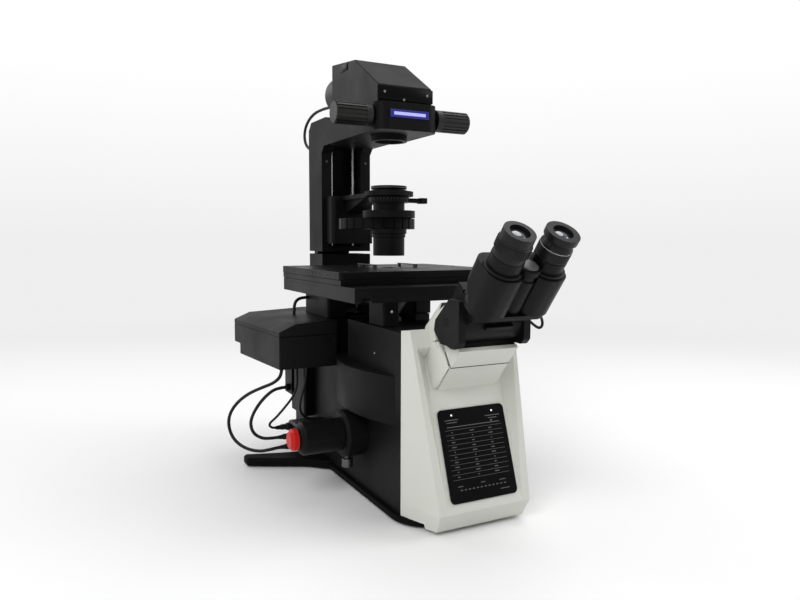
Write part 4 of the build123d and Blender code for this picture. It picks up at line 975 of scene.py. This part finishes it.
def dressScrews():
    for name, group in screwSpots.items():
        driveScrews(name, group["spots"], group["radius"], group["height"], look[group["finish"]],
                    group["body"])


dressScrews()
print("screws driven")


# Objectives: a colour band and a knurled foot on each
objectiveTrim = {
    "lengths": [40.0, 31.0, 29.0, 28.0, 29.0, 31.0], "pitchRadius": 30.0, "tilt": 18.0, "lift": 4.5,
    "bandRadius": 12.62, "bandHeight": 1.6, "bandShare": 0.42, "bandWall": 0.5,
    "knurlCount": 30, "knurlBar": (0.6, 0.9, 4.0), "knurlLift": 3.4,
    "bands": ["bandBlue", "bandRed", "bandYellow", "bandGreen", "bandSky", "bandWhite"],
}


def dressObjectives(sizes):
    turret = jointFrame("nosepiece_turn")
    for index, (length, band) in enumerate(zip(sizes["lengths"], sizes["bands"])):
        around = Matrix.Rotation(math.radians(360 / len(sizes["lengths"]) * index), 4, "Z")
        out = shift(0, -sizes["pitchRadius"], 0)
        seat = turret @ around @ out @ Matrix.Rotation(math.radians(sizes["tilt"]), 4, "X")
        low = sizes["lift"] + length * sizes["bandShare"]
        high = low + sizes["bandHeight"]
        outer = sizes["bandRadius"]
        inner = outer - sizes["bandWall"]
        ring = [(inner, low), (outer, low), (outer, high), (inner, high)]
        turned("objectiveBand%d" % (index + 1), [(ring, seat)], "nosepiece",
               look[band], segments=36)
        grow("objectiveKnurl%d" % (index + 1), ribRing, {
            "Count": sizes["knurlCount"], "Radius": outer * mm,
            "Bar": inMetres(*sizes["knurlBar"]), "Material": look["steel"],
            **placed(seat @ shift(0, 0, sizes["lift"] + sizes["knurlLift"])),
        }, "nosepiece")


dressObjectives(objectiveTrim)
print("objectives trimmed")


# Condenser: rim, dial marks and the lens
condenserTrim = {
    "rimRadius": 30.15, "rimWall": 0.4, "rimLow": 479.6, "rimHigh": 480.6,
    "markCount": 36, "markRadius": 34.05, "markBar": (0.2, 0.4, 3.2), "markLevel": 461.5,
    "lensRadius": 12.8, "lensBelly": 367.2, "lensLow": 367.6, "lensHigh": 370.6, "lensCrown": 372.6,
}


def dressCondenser(sizes):
    upright = Matrix.Identity(4)
    outer, low, high = sizes["rimRadius"], sizes["rimLow"], sizes["rimHigh"]
    inner = outer - sizes["rimWall"]
    rim = [(inner, low), (outer, low), (outer, high), (inner, high)]
    turned("condenserRim", [(rim, upright)], "carriage", look["darkSteel"],
           segments=64)
    grow("apertureMarks", ribRing, {
        "Count": sizes["markCount"], "Radius": sizes["markRadius"] * mm,
        "Bar": inMetres(*sizes["markBar"]), "Material": look["printGrey"],
        **placed(shift(0, 0, sizes["markLevel"])),
    }, "aperture")
    glass = [
        (0, sizes["lensBelly"]), (sizes["lensRadius"], sizes["lensLow"]),
        (sizes["lensRadius"], sizes["lensHigh"]), (0, sizes["lensCrown"]),
    ]
    turned("condenserGlass", [(glass, upright)], "carriage", look["lensGlass"])


dressCondenser(condenserTrim)
print("condenser trimmed")


# Stage scale, and a flat dark strip on the side of its base, painted shade where its slot is
stageTrim = {
    "top": 347.0, "tickCount": 41, "tickStep": 4.0, "tickBar": (0.35, 4.0, 0.12), "tickLevel": -126.0,
    "slotLow": (-143.15, -95.0, 320.5), "slotHigh": (-143.0, 95.0, 322.5),
}


def dressStage(sizes):
    grow("stageScale", barRow, {
        "Count": sizes["tickCount"],
        "Start": inMetres(-sizes["tickStep"] * (sizes["tickCount"] - 1) / 2, sizes["tickLevel"], 0),
        "Step": inMetres(sizes["tickStep"], 0, 0), "Bar": inMetres(*sizes["tickBar"]),
        "Material": look["printWhite"], **placed(shift(0, 0, sizes["top"])),
    }, "stage_x")
    # Painted shade: a flat dark box stands for the dark inside of the slot, which is not cut
    bm = bmesh.new()
    addBox(bm, sizes["slotLow"], sizes["slotHigh"])
    fromBm("stageSlotShade", bm, "frame", look["footRubber"])


dressStage(stageTrim)
print("stage marked")


# Ribbed sleeves of the plugs in the socket block, which narrow towards the cord
plugSleeve = {
    "places": [(85, 34), (98, 48), (111, 62)], "foot": 4.2, "crest": 4.1, "root": 3.4, "rim": 4.0,
    "ribs": 5, "pitch": 1.8, "heights": (1.1, 1.2, 1.7, 1.8), "crestTaper": 0.2, "rootTaper": 0.1,
    "end": (2.9, 9.6),
}


def dressPlugs(sizes):
    low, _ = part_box("cable_plugs")
    profile = [(0, 0), (sizes["foot"], 0)]
    for rib in range(sizes["ribs"]):
        crest = sizes["crest"] - rib * sizes["crestTaper"]
        root = sizes["root"] - rib * sizes["rootTaper"]
        rim = sizes["rim"] - rib * sizes["crestTaper"]
        levels = [rib * sizes["pitch"] + height for height in sizes["heights"]]
        profile += list(zip((crest, root, root, rim), levels))
    profile += [sizes["end"], (0, sizes["end"][1])]
    sleeves = [(profile, axisFrame((low.x, y * mm, z * mm), (-1, 0, 0))) for y, z in sizes["places"]]
    turned("plugSleeves", sleeves, "frame", look["cordRubber"], segments=24)


dressPlugs(plugSleeve)
print("plugs dressed")


# Band under the lamp house's brow, a small catch at its side, and a pale strip on the badge that glows as a
# painted highlight
headTrim = {
    "bandLow": (-49.5, -61.0, 611.5), "bandHigh": (49.5, -57.0, 634.0), "bandRound": 2.0,
    "catchLow": (-49.2, 62.0, 682.0), "catchHigh": (-47.5, 92.0, 694.0), "catchRound": 0.6,
    "stripLow": (-28.0, -74.62, 587.6), "stripHigh": (28.0, -74.5, 592.4),
}


def dressHead(sizes):
    trim = bmesh.new()
    addBox(trim, sizes["bandLow"], sizes["bandHigh"], bevel=sizes["bandRound"])
    addBox(trim, sizes["catchLow"], sizes["catchHigh"], bevel=sizes["catchRound"])
    fromBm("headTrim", trim, "pillar", look["panelGloss"])
    strip = bmesh.new()
    # The strip glows as a painted highlight
    addBox(strip, sizes["stripLow"], sizes["stripHigh"])
    fromBm("badgeStrip", strip, "pillar", look["badgeStripGlow"])


dressHead(headTrim)
print("head trimmed")


# Floor that fades into the background, soft lamps and a room that is paler at the rear
studio = {
    "floorColor": (0.92, 0.92, 0.92), "reach": 12.0, "fadeStart": 0.9, "fadeEnd": 2.6,
    "floorRough": 0.7, "horizon": 0.86, "zenith": 1.0, "zenithRise": 0.22, "frontRoom": 0.22,
    "rearRoom": 0.80, "aim": (0, 0, 0.3),
    "lamps": [
        {"name": "keyLight", "place": (-1.9, -1.5, 2.2), "size": 1.6, "power": 34.0},
        {"name": "fillLight", "place": (2.3, -1.2, 1.7), "size": 1.6, "power": 24.0},
        {"name": "topLight", "place": (0.8, 0.1, 2.6), "size": 1.8, "power": 20.0},
        {"name": "backLight", "place": (-1.2, 1.8, 1.6), "size": 1.4, "power": 10.0},
    ],
}


def makeFloorLook(setup):
    material, tree, shader = newMaterial("paleFloor")
    setInputs(shader, {"Base Color": (*setup["floorColor"], 1.0), "Roughness": setup["floorRough"]})
    place = tree.nodes.new("ShaderNodeTexCoord")
    distance = tree.nodes.new("ShaderNodeVectorMath")
    distance.operation = "LENGTH"
    fade = tree.nodes.new("ShaderNodeMapRange")
    fade.interpolation_type = "SMOOTHSTEP"
    setInputs(fade, {"From Min": setup["fadeStart"], "From Max": setup["fadeEnd"]})
    far = tree.nodes.new("ShaderNodeEmission")
    setInputs(far, {"Strength": setup["horizon"]})
    mix = tree.nodes.new("ShaderNodeMixShader")
    wire(
        tree, (place, "Object", distance, 0), (distance, "Value", fade, "Value"),
        (fade, "Result", mix, "Fac"), (shader, "BSDF", mix, 1), (far, "Emission", mix, 2),
        (mix, "Shader", tree.nodes["Material Output"], "Surface"),
    )
    return material


def makeFloor(setup):
    reach = setup["reach"]
    mesh = bpy.data.meshes.new("floor")
    corners = [(-reach, -reach, 0), (reach, -reach, 0), (reach, reach, 0), (-reach, reach, 0)]
    mesh.from_pydata(corners, [], [(0, 1, 2, 3)])
    mesh.materials.append(makeFloorLook(setup))
    floor = addObject("floor", mesh)


def makeLamps(setup):
    for lamp in setup["lamps"]:
        data = bpy.data.lights.new(lamp["name"], "AREA")
        data.shape = "DISK"
        data.size = lamp["size"]
        data.energy = lamp["power"]
        light = addObject(lamp["name"], data)
        light.location = lamp["place"]
        aim = Vector(setup["aim"]) - Vector(lamp["place"])
        light.rotation_euler = aim.to_track_quat("-Z", "Y").to_euler()


def makeRoom(setup):
    world = bpy.data.worlds.new("paleRoom")
    world.use_nodes = True
    tree = world.node_tree
    background = tree.nodes["Background"]
    setInputs(background, {"Color": (1.0, 1.0, 1.0, 1.0)})
    place = tree.nodes.new("ShaderNodeTexCoord")
    split = tree.nodes.new("ShaderNodeSeparateXYZ")
    seen = tree.nodes.new("ShaderNodeMapRange")
    setInputs(seen, {
        "From Min": 0.0, "From Max": setup["zenithRise"],
        "To Min": setup["horizon"], "To Max": setup["zenith"],
    })
    room = tree.nodes.new("ShaderNodeMapRange")
    setInputs(room, {
        "From Min": -1.0, "From Max": 1.0, "To Min": setup["frontRoom"], "To Max": setup["rearRoom"],
    })
    rays = tree.nodes.new("ShaderNodeLightPath")
    level = tree.nodes.new("ShaderNodeMix")
    wire(
        tree, (place, "Generated", split, "Vector"), (split, "Z", seen, "Value"), (split, "Y", room, "Value"),
        (rays, "Is Camera Ray", level, "Factor"), (room, "Result", level, "A"), (seen, "Result", level, "B"),
        (level, "Result", background, "Strength"),
    )
    scene.world = world


makeFloor(studio)
makeLamps(studio)
makeRoom(studio)
scene.view_settings.view_transform = "Standard"
print("studio lit")
